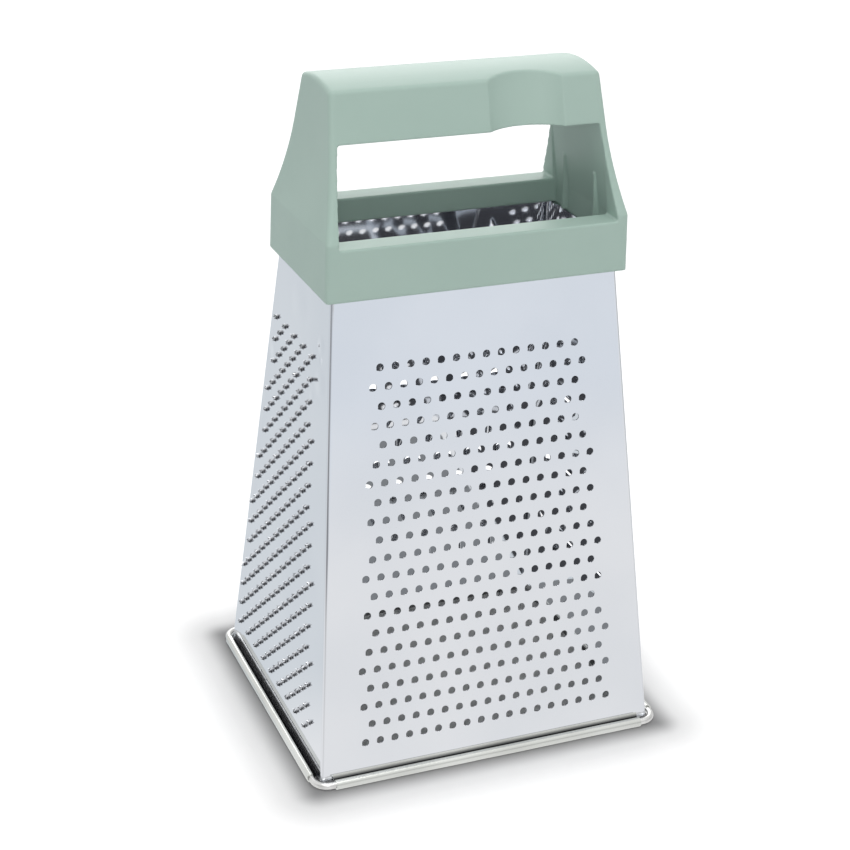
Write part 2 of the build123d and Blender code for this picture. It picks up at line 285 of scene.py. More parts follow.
@dataclass(frozen=True)
class SheetFinish:
    """Bright rolled sheet steel with faint rolling streaks, handling haze, a slight wave and dents.

    Scales are in noise cells a metre, and heights in millimetres.
    """

    name: str = "polished_sheet"
    bright: Colour = (0.73, 0.745, 0.775)
    dull: Colour = (0.69, 0.71, 0.745)
    roughness: float = 0.02
    haze: float = 0.03
    streaking: float = 0.015
    wave: float = 0.06
    streak: float = 0.0006
    # Near-black that the darkening attribute mixes in: painted shade, and partly oxide on the rasp crowns.
    shade_and_grime: Colour = (0.012, 0.013, 0.018)
    shade_and_grime_roughness: float = 0.12
    streak_scale: float = 2200.0
    streak_shares: Point = (1.0, 1.0, 0.03)
    streak_detail: float = 3.0
    haze_scale: float = 22.0
    haze_detail: float = 3.0
    haze_tint: Range = (0.3, 0.7)
    haze_cloud: Range = (0.35, 0.75)
    wave_scale: float = 14.0
    wave_detail: float = 1.0
    dents: tuple[Dent, ...] = (
        Dent((-44.8, -18.3, 128.4), 3.4, 0.34),
        Dent((-45.1, -18.8, 124.0), 1.7, -0.16),
        Dent((-45.4, -19.6, 117.6), 5.2, 0.40),
        Dent((-45.8, -13.8, 111.2), 2.6, 0.16),
        Dent((-46.4, 25.6, 110.0), 4.6, -0.42),
        Dent((-44.6, 2.0, 134.0), 8.0, 0.30),
    )

    def material(self) -> bpy.types.Material:
        """Builds the finish.

        Returns:
            The material.
        """
        material, graph, shader, place = new_material(self.name)
        along = graph.stretched(place, self.streak_shares)
        streaks = graph.noise(along, self.streak_scale, self.streak_detail)
        haze = graph.noise(place, self.haze_scale, self.haze_detail)
        # The attribute darkens the colour: painted shade along the folds, in the hem grooves and on one side
        # of each rasp cone, and partly oxide on the torn rasp crowns.
        shade_and_grime = graph.value("ShaderNodeAttribute", {"attribute_name": SHADE_AND_GRIME}, {}, "Fac")
        shader.inputs["Metallic"].default_value = 1.0
        clean = graph.tint(haze.ramp(*self.haze_tint), self.bright, self.dull)
        graph.feed(shader.inputs["Base Color"], graph.tint(shade_and_grime, clean, self.shade_and_grime))
        cloud = haze.ramp(*self.haze_cloud) * self.haze + streaks * self.streaking
        graph.feed(shader.inputs["Roughness"], cloud + shade_and_grime * self.shade_and_grime_roughness + self.roughness)
        waves = graph.noise(place, self.wave_scale, self.wave_detail)
        height = waves * self.wave + streaks * self.streak
        for dent in self.dents:
            height = height + self.bump_at(graph, place, dent)
        bump = graph.node("ShaderNodeBump", None, {"Strength": 1.0, "Distance": MM, "Height": height})
        graph.feed(shader.inputs["Normal"], bump.outputs[0])
        return material

    @staticmethod
    def bump_at(graph: Graph, place: bpy.types.NodeSocket, dent: Dent) -> Value:
        """Height of one dent.

        Args:
            graph: the material's graph.
            place: Object coordinates.
            dent: the dent.

        Returns:
            Its height in millimetres.
        """
        centre = tuple(part * MM for part in dent.centre)
        ends = {0: place, 1: centre}
        away = graph.value("ShaderNodeVectorMath", {"operation": "DISTANCE"}, ends, "Value")
        return (1.0 - (away / (dent.radius * MM)).ramp(0.0, 1.0)) * dent.height


@dataclass(frozen=True)
class WireFinish:
    """Drawn steel wire: a little duller than the sheet, with fine lengthwise draw marks."""

    name: str = "drawn_wire"
    bright: Colour = (0.72, 0.72, 0.71)
    dull: Colour = (0.55, 0.55, 0.54)
    roughness: float = 0.2
    mark_scale: float = 3000.0
    mark_shares: Point = (0.1, 0.1, 1.0)
    mark_detail: float = 3.0
    mark_roughness: float = 0.08
    mark_height: float = 0.004
    spot_scale: float = 300.0
    spot_detail: float = 3.0
    spot_tint: Range = (0.35, 0.75)
    spot_roughness: float = 0.12
    spot_height: float = 0.02

    def material(self) -> bpy.types.Material:
        """Builds the finish.

        Returns:
            The material.
        """
        material, graph, shader, place = new_material(self.name)
        marks = graph.noise(graph.stretched(place, self.mark_shares), self.mark_scale, self.mark_detail)
        spots = graph.noise(place, self.spot_scale, self.spot_detail)
        shader.inputs["Metallic"].default_value = 1.0
        colour = graph.tint(spots.ramp(*self.spot_tint), self.bright, self.dull)
        graph.feed(shader.inputs["Base Color"], colour)
        rough = spots * self.spot_roughness + marks * self.mark_roughness + self.roughness
        graph.feed(shader.inputs["Roughness"], rough)
        height = marks * self.mark_height + spots * self.spot_height
        bump = graph.node("ShaderNodeBump", None, {"Strength": 1.0, "Distance": MM, "Height": height})
        graph.feed(shader.inputs["Normal"], bump.outputs[0])
        return material


@dataclass(frozen=True)
class PlasticFinish:
    """Satin moulded plastic in pale sage green: an even colour, a fine grain and faint flow marks."""

    name: str = "sage_moulding"
    colour: Colour = (0.41, 0.55, 0.488)
    pale: Colour = (0.435, 0.575, 0.512)
    roughness: float = 0.36
    specular: float = 0.5
    grain: float = 0.006
    grain_scale: float = 3200.0
    grain_roughness: float = 0.05
    flow: float = 0.05
    flow_scale: float = 45.0
    flow_shares: Point = (0.4, 1.0, 1.0)
    flow_tint: Range = (0.3, 0.7)
    flow_share: float = 0.7
    mottle_scale: float = 420.0
    mottle_detail: float = 3.0
    mottle_share: float = 0.3
    mottle_roughness: float = 0.10

    def material(self) -> bpy.types.Material:
        """Builds the finish.

        Returns:
            The material.
        """
        material, graph, shader, place = new_material(self.name)
        flow = graph.noise(graph.stretched(place, self.flow_shares), self.flow_scale)
        grain = graph.noise(place, self.grain_scale)
        mottle = graph.noise(place, self.mottle_scale, self.mottle_detail)
        cloud = flow.ramp(*self.flow_tint) * self.flow_share + mottle * self.mottle_share
        graph.feed(shader.inputs["Base Color"], graph.tint(cloud, self.colour, self.pale))
        rough = mottle * self.mottle_roughness + grain * self.grain_roughness + self.roughness
        graph.feed(shader.inputs["Roughness"], rough)
        shader.inputs["Specular IOR Level"].default_value = self.specular
        height = flow * self.flow + grain * self.grain
        bump = graph.node("ShaderNodeBump", None, {"Strength": 1.0, "Distance": MM, "Height": height})
        graph.feed(shader.inputs["Normal"], bump.outputs[0])
        return material


# The sheet's taper

@dataclass(frozen=True)
class Wall:
    """One leaning wall: x to the right as seen from outside, y up the sheet, z out of it."""

    half_run: float
    slope: float
    turn: float

    @property
    def lean(self) -> float:
        """Angle between the wall and the upright, in radians."""
        return math.atan(self.slope)

    def axes(self) -> tuple[np.ndarray, np.ndarray, np.ndarray, np.ndarray]:
        """Origin on the floor, and the right, up and outward directions.

        Returns:
            Four points or directions of the row frame.
        """
        turn = math.radians(self.turn)
        right = np.array((math.cos(turn), math.sin(turn), 0.0))
        level = np.array((math.sin(turn), -math.cos(turn), 0.0))
        rise = np.array((0.0, 0.0, 1.0))
        up = rise * math.cos(self.lean) - level * math.sin(self.lean)
        out = level * math.cos(self.lean) + rise * math.sin(self.lean)
        return level * self.half_run, right, up, out

    def place(self, points: np.ndarray) -> np.ndarray:
        """Moves points from the wall's own axes to the row frame."""
        origin, right, up, out = self.axes()
        return origin + points @ np.stack((right, up, out))

    def local(self, point: np.ndarray) -> np.ndarray:
        """Reads a point of the row frame in the wall's own axes."""
        origin, right, up, out = self.axes()
        return np.stack((right, up, out)) @ (point - origin)


@dataclass(frozen=True)
class Taper:
    """Outside of the folded sheet: its widths and depths at the floor and at its top edge."""

    base_width: float = 107.6
    base_depth: float = 91.4
    top_width: float = 86.0
    top_depth: float = 42.8
    height: float = 154.6
    sheet: float = 0.4
    fold_radius: float = 1.3
    foot: float = 1.6
    side_drop: float = 4.0
    hem_top: float = 3.4
    hem_end: float = 3.8
    wire: float = 2.0
    wire_clearance: float = 0.05
    wire_stand_off: float = 1.76
    hem_flat: float = 0.1

    @property
    def side_slope(self) -> float:
        """Run per rise of the rasp's and the slicer's walls."""
        return (self.base_width - self.top_width) / 2 / self.height

    @property
    def front_slope(self) -> float:
        """Run per rise of the front and rear walls."""
        return (self.base_depth - self.top_depth) / 2 / self.height

    @property
    def front(self) -> Wall:
        """Wall with the fine holes."""
        return Wall(self.base_depth / 2, self.front_slope, 0.0)

    @property
    def slicer(self) -> Wall:
        """Wall with the slicing blades."""
        return Wall(self.base_width / 2, self.side_slope, 90.0)

    @property
    def rear(self) -> Wall:
        """Wall with the coarse teeth."""
        return Wall(self.base_depth / 2, self.front_slope, 180.0)

    @property
    def rasp(self) -> Wall:
        """Wall with the burst points."""
        return Wall(self.base_width / 2, self.side_slope, 270.0)

    def half_width(self, z: float) -> float:
        """Half of the outside width at height z."""
        return self.base_width / 2 - self.side_slope * z

    def half_depth(self, z: float) -> float:
        """Half of the outside depth at height z."""
        return self.base_depth / 2 - self.front_slope * z

    def half_of(self, wall: Wall, run: float) -> float:
        """Half of a wall's width to the sharp corner, run up the sheet."""
        z = run * math.cos(wall.lean)
        return self.half_width(z) if wall.turn in (0.0, 180.0) else self.half_depth(z)

    def hem_half(self, wall: Wall) -> float:
        """Half of the length of the hem along a wall's foot."""
        return self.half_of(wall, 0.0) - self.hem_end

    def top_of(self, wall: Wall) -> float:
        """Height of a wall's top edge."""
        return self.height if wall.turn in (0.0, 180.0) else self.height - self.side_drop

    @property
    def roll_mid(self) -> float:
        """Radius of the middle of the rolled sheet."""
        return self.wire / 2 + self.wire_clearance + self.sheet / 2

    @property
    def roll_height(self) -> float:
        """Height of the centre of the wire and of its roll."""
        return self.roll_mid + self.sheet / 2 - self.hem_flat


# Meshes

class Shell:
    """Vertices and faces of a single skin of sheet, in millimetres."""

    def __init__(self) -> None:
        """Starts empty."""
        self.points: list[Point] = []
        self.faces: list[tuple[int, ...]] = []
        self.shade_and_grime: list[float] = []

    def loop(self, points: list[Point], shade_and_grime: float | list[float] = 0.0) -> list[int]:
        """Adds points.

        Args:
            points: the points.
            shade_and_grime: how much the metal is darkened, from zero to one, at all of them or at each:
                mostly painted shade, partly oxide on the rasp crowns.

        Returns:
            Their numbers.
        """
        first = len(self.points)
        self.points.extend(points)
        self.shade_and_grime.extend(shade_and_grime if isinstance(shade_and_grime, list) else [shade_and_grime] * len(points))
        return list(range(first, first + len(points)))

    def bridge(self, outer: list[int], inner: list[int], closed: bool = True) -> None:
        """Joins two loops or rows of as many points with four-sided faces.

        Args:
            outer: the loop that the faces start from.
            inner: the loop inside it, or the row above it.
            closed: whether the last point joins the first.
        """
        count = len(outer)
        for step in range(count if closed else count - 1):
            after = (step + 1) % count
            self.faces.append((outer[step], outer[after], inner[after], inner[step]))

    def fill(self, outer: list[int], inner: list[int]) -> None:
        """Fills the flat space between two loops of any number of points.

        Args:
            outer: outline of the space, counterclockwise.
            inner: outline of the hole in it.
        """
        order = outer + inner
        loops = [[Vector(self.points[number]) for number in loop] for loop in (outer, inner)]
        for a, b, c in tessellate_polygon(loops):
            pa, pb, pc = (Vector(self.points[order[number]]) for number in (a, b, c))
            upward = (pb - pa).cross(pc - pa).z
            if upward:
                b, c = (b, c) if upward > 0 else (c, b)
                self.faces.append((order[a], order[b], order[c]))

    def mesh(self, name: str) -> bpy.types.Mesh:
        """Makes the mesh, still in millimetres.

        Args:
            name: the mesh's name.

        Returns:
            The mesh.
        """
        mesh = bpy.data.meshes.new(name)
        mesh.from_pydata(self.points, [], self.faces)
        if any(self.shade_and_grime):
            soil(mesh, self.shade_and_grime)
        return mesh


def soil(mesh: bpy.types.Mesh, shade_and_grime: list[float] | np.ndarray) -> None:
    """Writes how much the metal is darkened at each vertex: mostly painted shade, partly oxide on the rasp
    crowns.
    """
    mesh.attributes.new(SHADE_AND_GRIME, "FLOAT", "POINT").data.foreach_set("value", shade_and_grime)


def ring(radius: float, height: float, count: int) -> list[Point]:
    """Points of a level circle round the middle of a cell.

    Args:
        radius: its radius.
        height: its height over the sheet.
        count: number of points.

    Returns:
        The points, counterclockwise.
    """
    turns = [math.tau * step / count for step in range(count)]
    return [(radius * math.cos(turn), radius * math.sin(turn), height) for turn in turns]


def cell_edge(width: float, height: float) -> list[Point]:
    """Corners and edge middles of a cell, so that rows set half a cell apart share their points.

    Args:
        width: the cell's width, the pitch of its row.
        height: the cell's height, the pitch of the rows.

    Returns:
        Eight points, counterclockwise.
    """
    x, y = width / 2, height / 2
    corners = [(-1, -1), (0, -1), (1, -1), (1, 0), (1, 1), (0, 1), (-1, 1), (-1, 0)]
    return [(x * across, y * along, 0.0) for across, along in corners]


def link(name: str, data: bpy.types.ID) -> bpy.types.Object:
    """Adds an object with its data to the scene.

    Args:
        name: the object's name.
        data: the mesh, curve, lamp or camera that it shows.

    Returns:
        The object.
    """
    made = bpy.data.objects.new(name, data)
    bpy.context.scene.collection.objects.link(made)
    return made


def smooth(mesh: bpy.types.Mesh, sharp_over: float) -> None:
    """Shades a mesh smooth, but for edges that turn more than an angle.

    Args:
        mesh: the mesh.
        sharp_over: the angle in degrees.
    """
    mesh.polygons.foreach_set("use_smooth", [True] * len(mesh.polygons))
    mesh.set_sharp_from_angle(angle=math.radians(sharp_over))


@contextmanager
def editing(mesh: bpy.types.Mesh) -> Iterator[bmesh.types.BMesh]:
    """Opens a mesh for editing and writes it back at the end.

    Args:
        mesh: the mesh.

    Yields:
        What the edits work on.
    """
    bm = bmesh.new()
    bm.from_mesh(mesh)
    yield bm
    bm.to_mesh(mesh)
    bm.free()


def thicken(bm: bmesh.types.BMesh, offset: np.ndarray) -> None:
    """Gives a skin its second side and closes every open edge between the two sides.

    Args:
        bm: the skin.
        offset: where the second side lies, one vector for each vertex or one for all.
    """
    bm.verts.ensure_lookup_table()
    bm.verts.index_update()
    offsets = np.broadcast_to(offset, (len(bm.verts), 3))
    outer = list(bm.verts)
    faces = list(bm.faces)
    border = [edge for edge in bm.edges if len(edge.link_faces) == 1]
    inner = [bm.verts.new(vert.co + Vector(offsets[vert.index])) for vert in outer]
    number = {vert: place for place, vert in enumerate(outer)}
    for face in faces:
        second = bm.faces.new([inner[number[vert]] for vert in reversed(face.verts)])
        second.material_index = face.material_index
    for edge in border:
        loop = edge.link_loops[0]
        a, b = loop.vert, loop.link_loop_next.vert
        wall = bm.faces.new((b, a, inner[number[a]], inner[number[b]]))
        wall.material_index = loop.face.material_index


def finish_piece(name: str, mesh: bpy.types.Mesh, stands_for: str) -> bpy.types.Object:
    """Makes a piece of a mesh in metres, rides it on the body and hides the CAD node that it replaces.

    Args:
        name: the piece's name.
        mesh: its mesh, in place.
        stands_for: the CAD node that it replaces.

    Returns:
        The piece.
    """
    mesh.name = name
    piece = link(name, mesh)
    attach(piece, "root")
    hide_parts(stands_for)
    log.info("%s: %d faces", name, len(mesh.polygons))
    return piece


# Geometry Nodes

class Tool:
    """A Geometry Nodes tree with named inputs, run on an empty carrier object."""

    KINDS = {float: "NodeSocketFloat", int: "NodeSocketInt", bpy.types.Object: "NodeSocketObject",
             bpy.types.Material: "NodeSocketMaterial"}

    def __init__(self, name: str, inputs: dict[str, type]) -> None:
        """Starts the tree.

        Args:
            name: its name.
            inputs: names and types of its inputs.
        """
        self.tree = bpy.data.node_groups.new(name, "GeometryNodeTree")
        self.tree.interface.new_socket("Geometry", in_out="OUTPUT", socket_type="NodeSocketGeometry")
        self.names = {}
        for title, kind in inputs.items():
            socket = self.tree.interface.new_socket(title, in_out="INPUT", socket_type=self.KINDS[kind])
            self.names[title] = socket.identifier
        self.graph = Graph(self.tree)
        self.given = self.graph.node("NodeGroupInput")

    def input(self, title: str) -> Value:
        """One of the tree's inputs as a value."""
        return Value(self.graph, self.given.outputs[title])

    def shape_of(self, title: str) -> bpy.types.NodeSocket:
        """The geometry of the object given as an input."""
        info = self.graph.node("GeometryNodeObjectInfo", None, {"Object": self.input(title)})
        return info.outputs["Geometry"]

    def close(self, geometry: bpy.types.NodeSocket) -> None:
        """Ends the tree in real geometry with its material.

        Args:
            geometry: what the tree has made.
        """
        real = self.graph.node("GeometryNodeRealizeInstances", None, {"Geometry": geometry}).outputs[0]
        welded = self.graph.node("GeometryNodeMergeByDistance", None, {"Geometry": real, "Distance": WELD})
        coated = self.graph.node("GeometryNodeSetMaterial", None,
                                 {"Geometry": welded.outputs[0], "Material": self.input("Material")})
        self.graph.node("NodeGroupOutput", None, {0: coated.outputs[0]})

    def run(self, name: str, settings: dict[str, object]) -> bpy.types.Mesh:
        """Runs the tree and returns its result as a plain mesh.

        Args:
            name: name of the mesh.
            settings: a value for each named input.

        Returns:
            The mesh, with nothing left of the carrier.
        """
        carrier = link(name + "_carrier", bpy.data.meshes.new(name + "_carrier"))
        modifier = carrier.modifiers.new("tool", "NODES")
        modifier.node_group = self.tree
        for title, setting in settings.items():
            modifier[self.names[title]] = setting
        bpy.context.view_layer.update()
        graph = bpy.context.evaluated_depsgraph_get()
        mesh = bpy.data.meshes.new_from_object(carrier.evaluated_get(graph), depsgraph=graph)
        carrier.modifiers.remove(modifier)
        bpy.data.objects.remove(carrier)
        for setting in settings.values():
            if isinstance(setting, bpy.types.Object):
                bpy.data.objects.remove(setting)
        return mesh


def lattice_tool() -> Tool:
    """Rows of cells, every other row moved by half a cell, punched within a field and blank round it.

    Returns:
        The tool.
    """
    tool = Tool("punched_lattice", {
        "Punched": bpy.types.Object, "Blank": bpy.types.Object, "Crown": bpy.types.Object,
        "Pitch": float, "Row pitch": float, "Columns": int, "Rows": int, "Rows below": int,
        "Rows in all": int, "Foot": float, "Half low": float, "Half high": float, "First": int,
        "Shift": float, "Crown height": float, "Crown turns": float, "Crown change": float, "Seed": int,
        "Material": bpy.types.Material})
    graph = tool.graph
    index = graph.value("GeometryNodeInputIndex", None, {})
    columns = tool.input("Columns")
    row = (index / columns).math("FLOOR") - tool.input("Rows below")
    column = index.math("FLOORED_MODULO", columns) - (columns - 1.0) * 0.5
    odd = (row + tool.input("First")).math("FLOORED_MODULO", 2.0)
    x = (column + odd * 0.5) * tool.input("Pitch")
    y = row * tool.input("Row pitch") + tool.input("Foot")
    place = graph.node("ShaderNodeCombineXYZ", None, {0: x + tool.input("Shift"), 1: y, 2: 0.0}).outputs[0]
    count = columns * tool.input("Rows in all")
    points = graph.node("GeometryNodePoints", None, {"Count": count, "Position": place})
    half_change = tool.input("Half high") - tool.input("Half low")
    half = tool.input("Half low") + half_change * row / (tool.input("Rows") - 1.0)
    punched = abs(x).below(half + WELD) * row.above(-0.5) * row.below(tool.input("Rows") - 0.5)

    def cells(title: str, chosen: Value, spots: bpy.types.NodeSocket, more: dict) -> bpy.types.NodeSocket:
        """Copies of one cell on the chosen points."""
        inputs = {"Points": spots, "Selection": chosen, "Instance": tool.shape_of(title), **more}
        return graph.node("GeometryNodeInstanceOnPoints", None, inputs).outputs[0]

    flags = graph.node("GeometryNodeStoreNamedAttribute", {"data_type": "FLOAT"},
                       {"Geometry": points.outputs[0], "Name": "punched", "Value": punched}).outputs[0]
    flag = graph.value("GeometryNodeInputNamedAttribute", {"data_type": "FLOAT"}, {"Name": "punched"})
    lift = graph.node("ShaderNodeCombineXYZ", None, {2: tool.input("Crown height")}).outputs[0]
    lifted = graph.node("GeometryNodeSetPosition", None, {"Geometry": flags, "Offset": lift}).outputs[0]

    def chance(seed: float, low: Value | float, high: Value | float) -> Value:
        """A random number for each point."""
        return graph.value("FunctionNodeRandomValue", {"data_type": "FLOAT"},
                           {2: low, 3: high, 8: tool.input("Seed") + seed}, 1)

    turns = tool.input("Crown turns")
    turn = chance(0.0, 0.0, turns).math("FLOOR") / turns * math.tau
    change = tool.input("Crown change")
    growth = chance(1.0, 1.0 - change, change + 1.0)
    rotation = graph.node("ShaderNodeCombineXYZ", None, {2: turn}).outputs[0]
    scale = graph.node("ShaderNodeCombineXYZ", None, {0: 1.0, 1: 1.0, 2: growth}).outputs[0]
    joined = graph.node("GeometryNodeJoinGeometry")
    for part in (cells("Crown", flag, lifted, {"Rotation": rotation, "Scale": scale}),
                 cells("Blank", 1.0 - flag, flags, {}), cells("Punched", flag, flags, {})):
        graph.tree.links.new(part, joined.inputs[0])
    tool.close(joined.outputs[0])
    return tool


def sweep_tool() -> Tool:
    """A section carried along a path, with an uneven surface below a level.

    Returns:
        The tool.
    """
    tool = Tool("swept_section", {
        "Path": bpy.types.Object, "Section": bpy.types.Object, "Step": float, "Wobble": float,
        "Wobble size": float, "Level": float, "Seed": float, "Material": bpy.types.Material})
    graph = tool.graph
    path = graph.node("GeometryNodeResampleCurve", {"mode": "LENGTH"},
                      {"Curve": tool.shape_of("Path"), "Length": tool.input("Step")}).outputs[0]
    profile = tool.shape_of("Section")
    swept = graph.node("GeometryNodeCurveToMesh", None,
                       {"Curve": path, "Profile Curve": profile, "Fill Caps": True}).outputs[0]
    place = graph.node("GeometryNodeInputPosition").outputs[0]
    noise = graph.node("ShaderNodeTexNoise", {"noise_dimensions": "4D"}, {
        "Vector": place, "W": tool.input("Seed"), "Scale": tool.input("Wobble size").power(-1.0),
        "Detail": 1.0}).outputs["Color"]
    height = graph.axes(place)[2]
    fade = (tool.input("Level") - height).math("MAXIMUM", 0.0).math("MINIMUM", 1.0)
    middle = (0.5, 0.5, 0.5)
    centred = graph.node("ShaderNodeVectorMath", {"operation": "SUBTRACT"}, {0: noise, 1: middle}).outputs[0]
    offset = graph.node("ShaderNodeVectorMath", {"operation": "SCALE"},
                        {0: centred, "Scale": fade * tool.input("Wobble")}).outputs[0]
    moved = graph.node("GeometryNodeSetPosition", None, {"Geometry": swept, "Offset": offset}).outputs[0]
    tool.close(moved)
    return tool


def line_object(name: str, points: list[Point], closed: bool) -> bpy.types.Object:
    """A curve through points, which keeps its sections upright.

    Args:
        name: its name.
        points: the points.
        closed: whether it comes back to its start.

    Returns:
        The curve's object.
    """
    curve = bpy.data.curves.new(name, "CURVE")
    curve.dimensions = "3D"
    curve.twist_mode = "Z_UP"
    spline = curve.splines.new("POLY")
    spline.points.add(len(points) - 1)
    for point, place in zip(spline.points, points):
        point.co = (*place, 1.0)
    spline.use_cyclic_u = closed
    return link(name, curve)


# The four faces and their folds

@dataclass(frozen=True)
class Fold:
    """One rounded fold of the sheet with a flat margin on each of its two walls.

    A painted dark line runs along the bend, a painted reflection of something dark in the room. It is some
    steps of the bend wide on each side of a middle step, and it fades from a higher strength at the top edge
    to a lower one at the foot.
    """

    taper: Taper
    side_x: int
    side_y: int
    margin: float = 2.0
    support: float = 0.12
    steps: int = 10
    # The painted dark line: its middle step, its half width in steps, and its strength at the foot and at the
    # top edge.
    shade_step: float = 4.3
    shade_steps: float = 1.5
    shade_low: float = 0.15
    shade_high: float = 0.85

    @property
    def along(self) -> np.ndarray:
        """Direction of the fold, upwards.

        Returns:
            A vector of length one.
        """
        taper = self.taper
        direction = np.array((-self.side_x * taper.side_slope, -self.side_y * taper.front_slope, 1.0))
        return direction / np.linalg.norm(direction)

    def walls(self) -> tuple[Wall, Wall]:
        """The walls that meet here.

        Returns:
            The wide wall and the narrow wall.
        """
        wide = self.taper.front if self.side_y < 0 else self.taper.rear
        narrow = self.taper.rasp if self.side_x < 0 else self.taper.slicer
        return wide, narrow

    def rails(self) -> list[tuple[np.ndarray, np.ndarray]]:
        """Lines of the strip, from the margin on the wide wall to the margin on the narrow one.

        Returns:
            A point and the outward direction of each line.
        """
        wide, narrow = self.walls()
        out_wide, out_narrow = wide.axes()[3], narrow.axes()[3]
        half_x, half_y = self.taper.base_width / 2, self.taper.base_depth / 2
        corner = np.array((self.side_x * half_x, self.side_y * half_y, 0.0))
        radius = self.taper.fold_radius
        centre = corner - radius * (out_wide + out_narrow) / (1 + out_wide @ out_narrow)
        angle = math.acos(out_wide @ out_narrow)
        arc = []
        for step in range(self.steps + 1):
            share = step / self.steps
            from_wide, from_narrow = math.sin((1 - share) * angle), math.sin(share * angle)
            out = (from_wide * out_wide + from_narrow * out_narrow) / math.sin(angle)
            arc.append((centre + radius * out, out))
        lines = list(arc)
        for out, other, (tangent, _) in ((out_wide, out_narrow, arc[0]), (out_narrow, out_wide, arc[-1])):
            away = np.cross(self.along, out)
            away *= -np.sign(away @ other)
            flat = [(tangent + away * self.support, out), (tangent + away * self.margin, out)]
            lines = flat[::-1] + lines if out is out_wide else lines + flat
        return lines

    def at(self, point: np.ndarray, z: float) -> np.ndarray:
        """The point of a line of the fold at height z."""
        return point + self.along * (z - point[2]) / self.along[2]

    def border(self, wall: Wall) -> tuple[np.ndarray, np.ndarray]:
        """Two points of the strip's border on a wall, in the wall's axes."""
        line = self.rails()[0 if wall == self.walls()[0] else -1][0]
        return wall.local(self.at(line, 0.0)), wall.local(self.at(line, self.taper.height))

    def painted_fold_shade(self) -> list[float]:
        """How much painted shade each line of the strip gets, from zero to one.

        Returns:
            One value for each rail.
        """
        lines = len(self.rails())
        flats = (lines - self.steps - 1) // 2
        away = [abs(number - flats - self.shade_step) for number in range(lines)]
        return [max(1.0 - steps / self.shade_steps, 0.0) for steps in away]

    def build(self, name: str, material: bpy.types.Material) -> bpy.types.Object:
        """Makes the strip.

        Args:
            name: the piece's name.
            material: its finish.

        Returns:
            The piece.
        """
        skin = Shell()
        rows = []
        for z, most in ((self.taper.foot, self.shade_low), (self.taper.height, self.shade_high)):
            rows.append(skin.loop([tuple(self.at(point, z)) for point, _ in self.rails()],
                                  [most * share for share in self.painted_fold_shade()]))
        skin.bridge(rows[0], rows[1], closed=False)
        mesh = skin.mesh(name)
        outward = [out for _, out in self.rails()]
        middle = self.steps // 2
        with editing(mesh) as bm:
            bm.faces.ensure_lookup_table()
            if bm.faces[middle].normal.dot(Vector(outward[middle])) < 0:
                bmesh.ops.reverse_faces(bm, faces=bm.faces)
            thicken(bm, np.array(outward + outward) * -self.taper.sheet)
            bmesh.ops.scale(bm, vec=(MM, MM, MM), verts=bm.verts)
        mesh.materials.append(material)
        smooth(mesh, SHARP_SHEET)
        return finish_piece(name, mesh, "grater_body")


@dataclass(frozen=True)
class Face:
    """One face of the grater: it is trimmed to the wall between two folds and given its thickness."""

    taper: Taper
    wall: Wall
    folds: tuple[Fold, Fold]
    material: bpy.types.Material

    def edges(self) -> list[tuple[Vector, Vector]]:
        """Cuts that leave the wall's own outline.

        Returns:
            A point and the outward direction of each cut, in the wall's axes.
        """
        cuts = []
        for fold in self.folds:
            low, high = (Vector(point) for point in fold.border(self.wall))
            across = (high - low).cross(Vector((0.0, 0.0, 1.0))).normalized()
            cuts.append((low, across if across.x * low.x > 0 else -across))
        cosine = math.cos(self.wall.lean)
        cuts.append((Vector((0.0, self.taper.foot / cosine, 0.0)), Vector((0.0, -1.0, 0.0))))
        cuts.append((Vector((0.0, self.taper.top_of(self.wall) / cosine, 0.0)), Vector((0.0, 1.0, 0.0))))
        return cuts

    def trim(self, bm: bmesh.types.BMesh) -> None:
        """Cuts a flat skin to the wall's outline and frees its foot for the hem.

        Args:
            bm: the skin, which is changed.
        """
        line = self.taper.hem_top / math.cos(self.wall.lean)
        half = self.taper.hem_half(self.wall)
        cuts = [(point, outward, True) for point, outward in self.edges()]
        cuts += [((0, line, 0), (0, 1, 0), False), ((half, 0, 0), (1, 0, 0), False),
                 ((-half, 0, 0), (1, 0, 0), False)]
        for point, outward, clear in cuts:
            geometry = bm.verts[:] + bm.edges[:] + bm.faces[:]
            bmesh.ops.bisect_plane(bm, geom=geometry, dist=WELD, plane_co=point, plane_no=outward,
                                   clear_outer=clear)
        free = []
        for face in bm.faces:
            centre = face.calc_center_median()
            if centre.y < line and abs(centre.x) < half:
                free.append(face)
        bmesh.ops.delete(bm, geom=free, context="FACES")

    def piece(self, name: str, mesh: bpy.types.Mesh, sharp_over: float) -> bpy.types.Object:
        """Trims and thickens a flat mesh and sets it on the wall.

        Args:
            name: the piece's name.
            mesh: the punched skin, in the wall's axes and millimetres.
            sharp_over: angle in degrees over which an edge stays sharp.

        Returns:
            The piece.
        """
        with editing(mesh) as bm:
            self.trim(bm)
            thicken(bm, np.array((0.0, 0.0, -self.taper.sheet)))
        local = np.array([vert.co for vert in mesh.vertices]).reshape(-1, 3)
        mesh.vertices.foreach_set("co", (self.wall.place(local) * MM).astype(np.float32).ravel())
        mesh.update()
        if not mesh.materials:
            mesh.materials.append(self.material)
        smooth(mesh, sharp_over)
        return finish_piece(name, mesh, "grater_body")


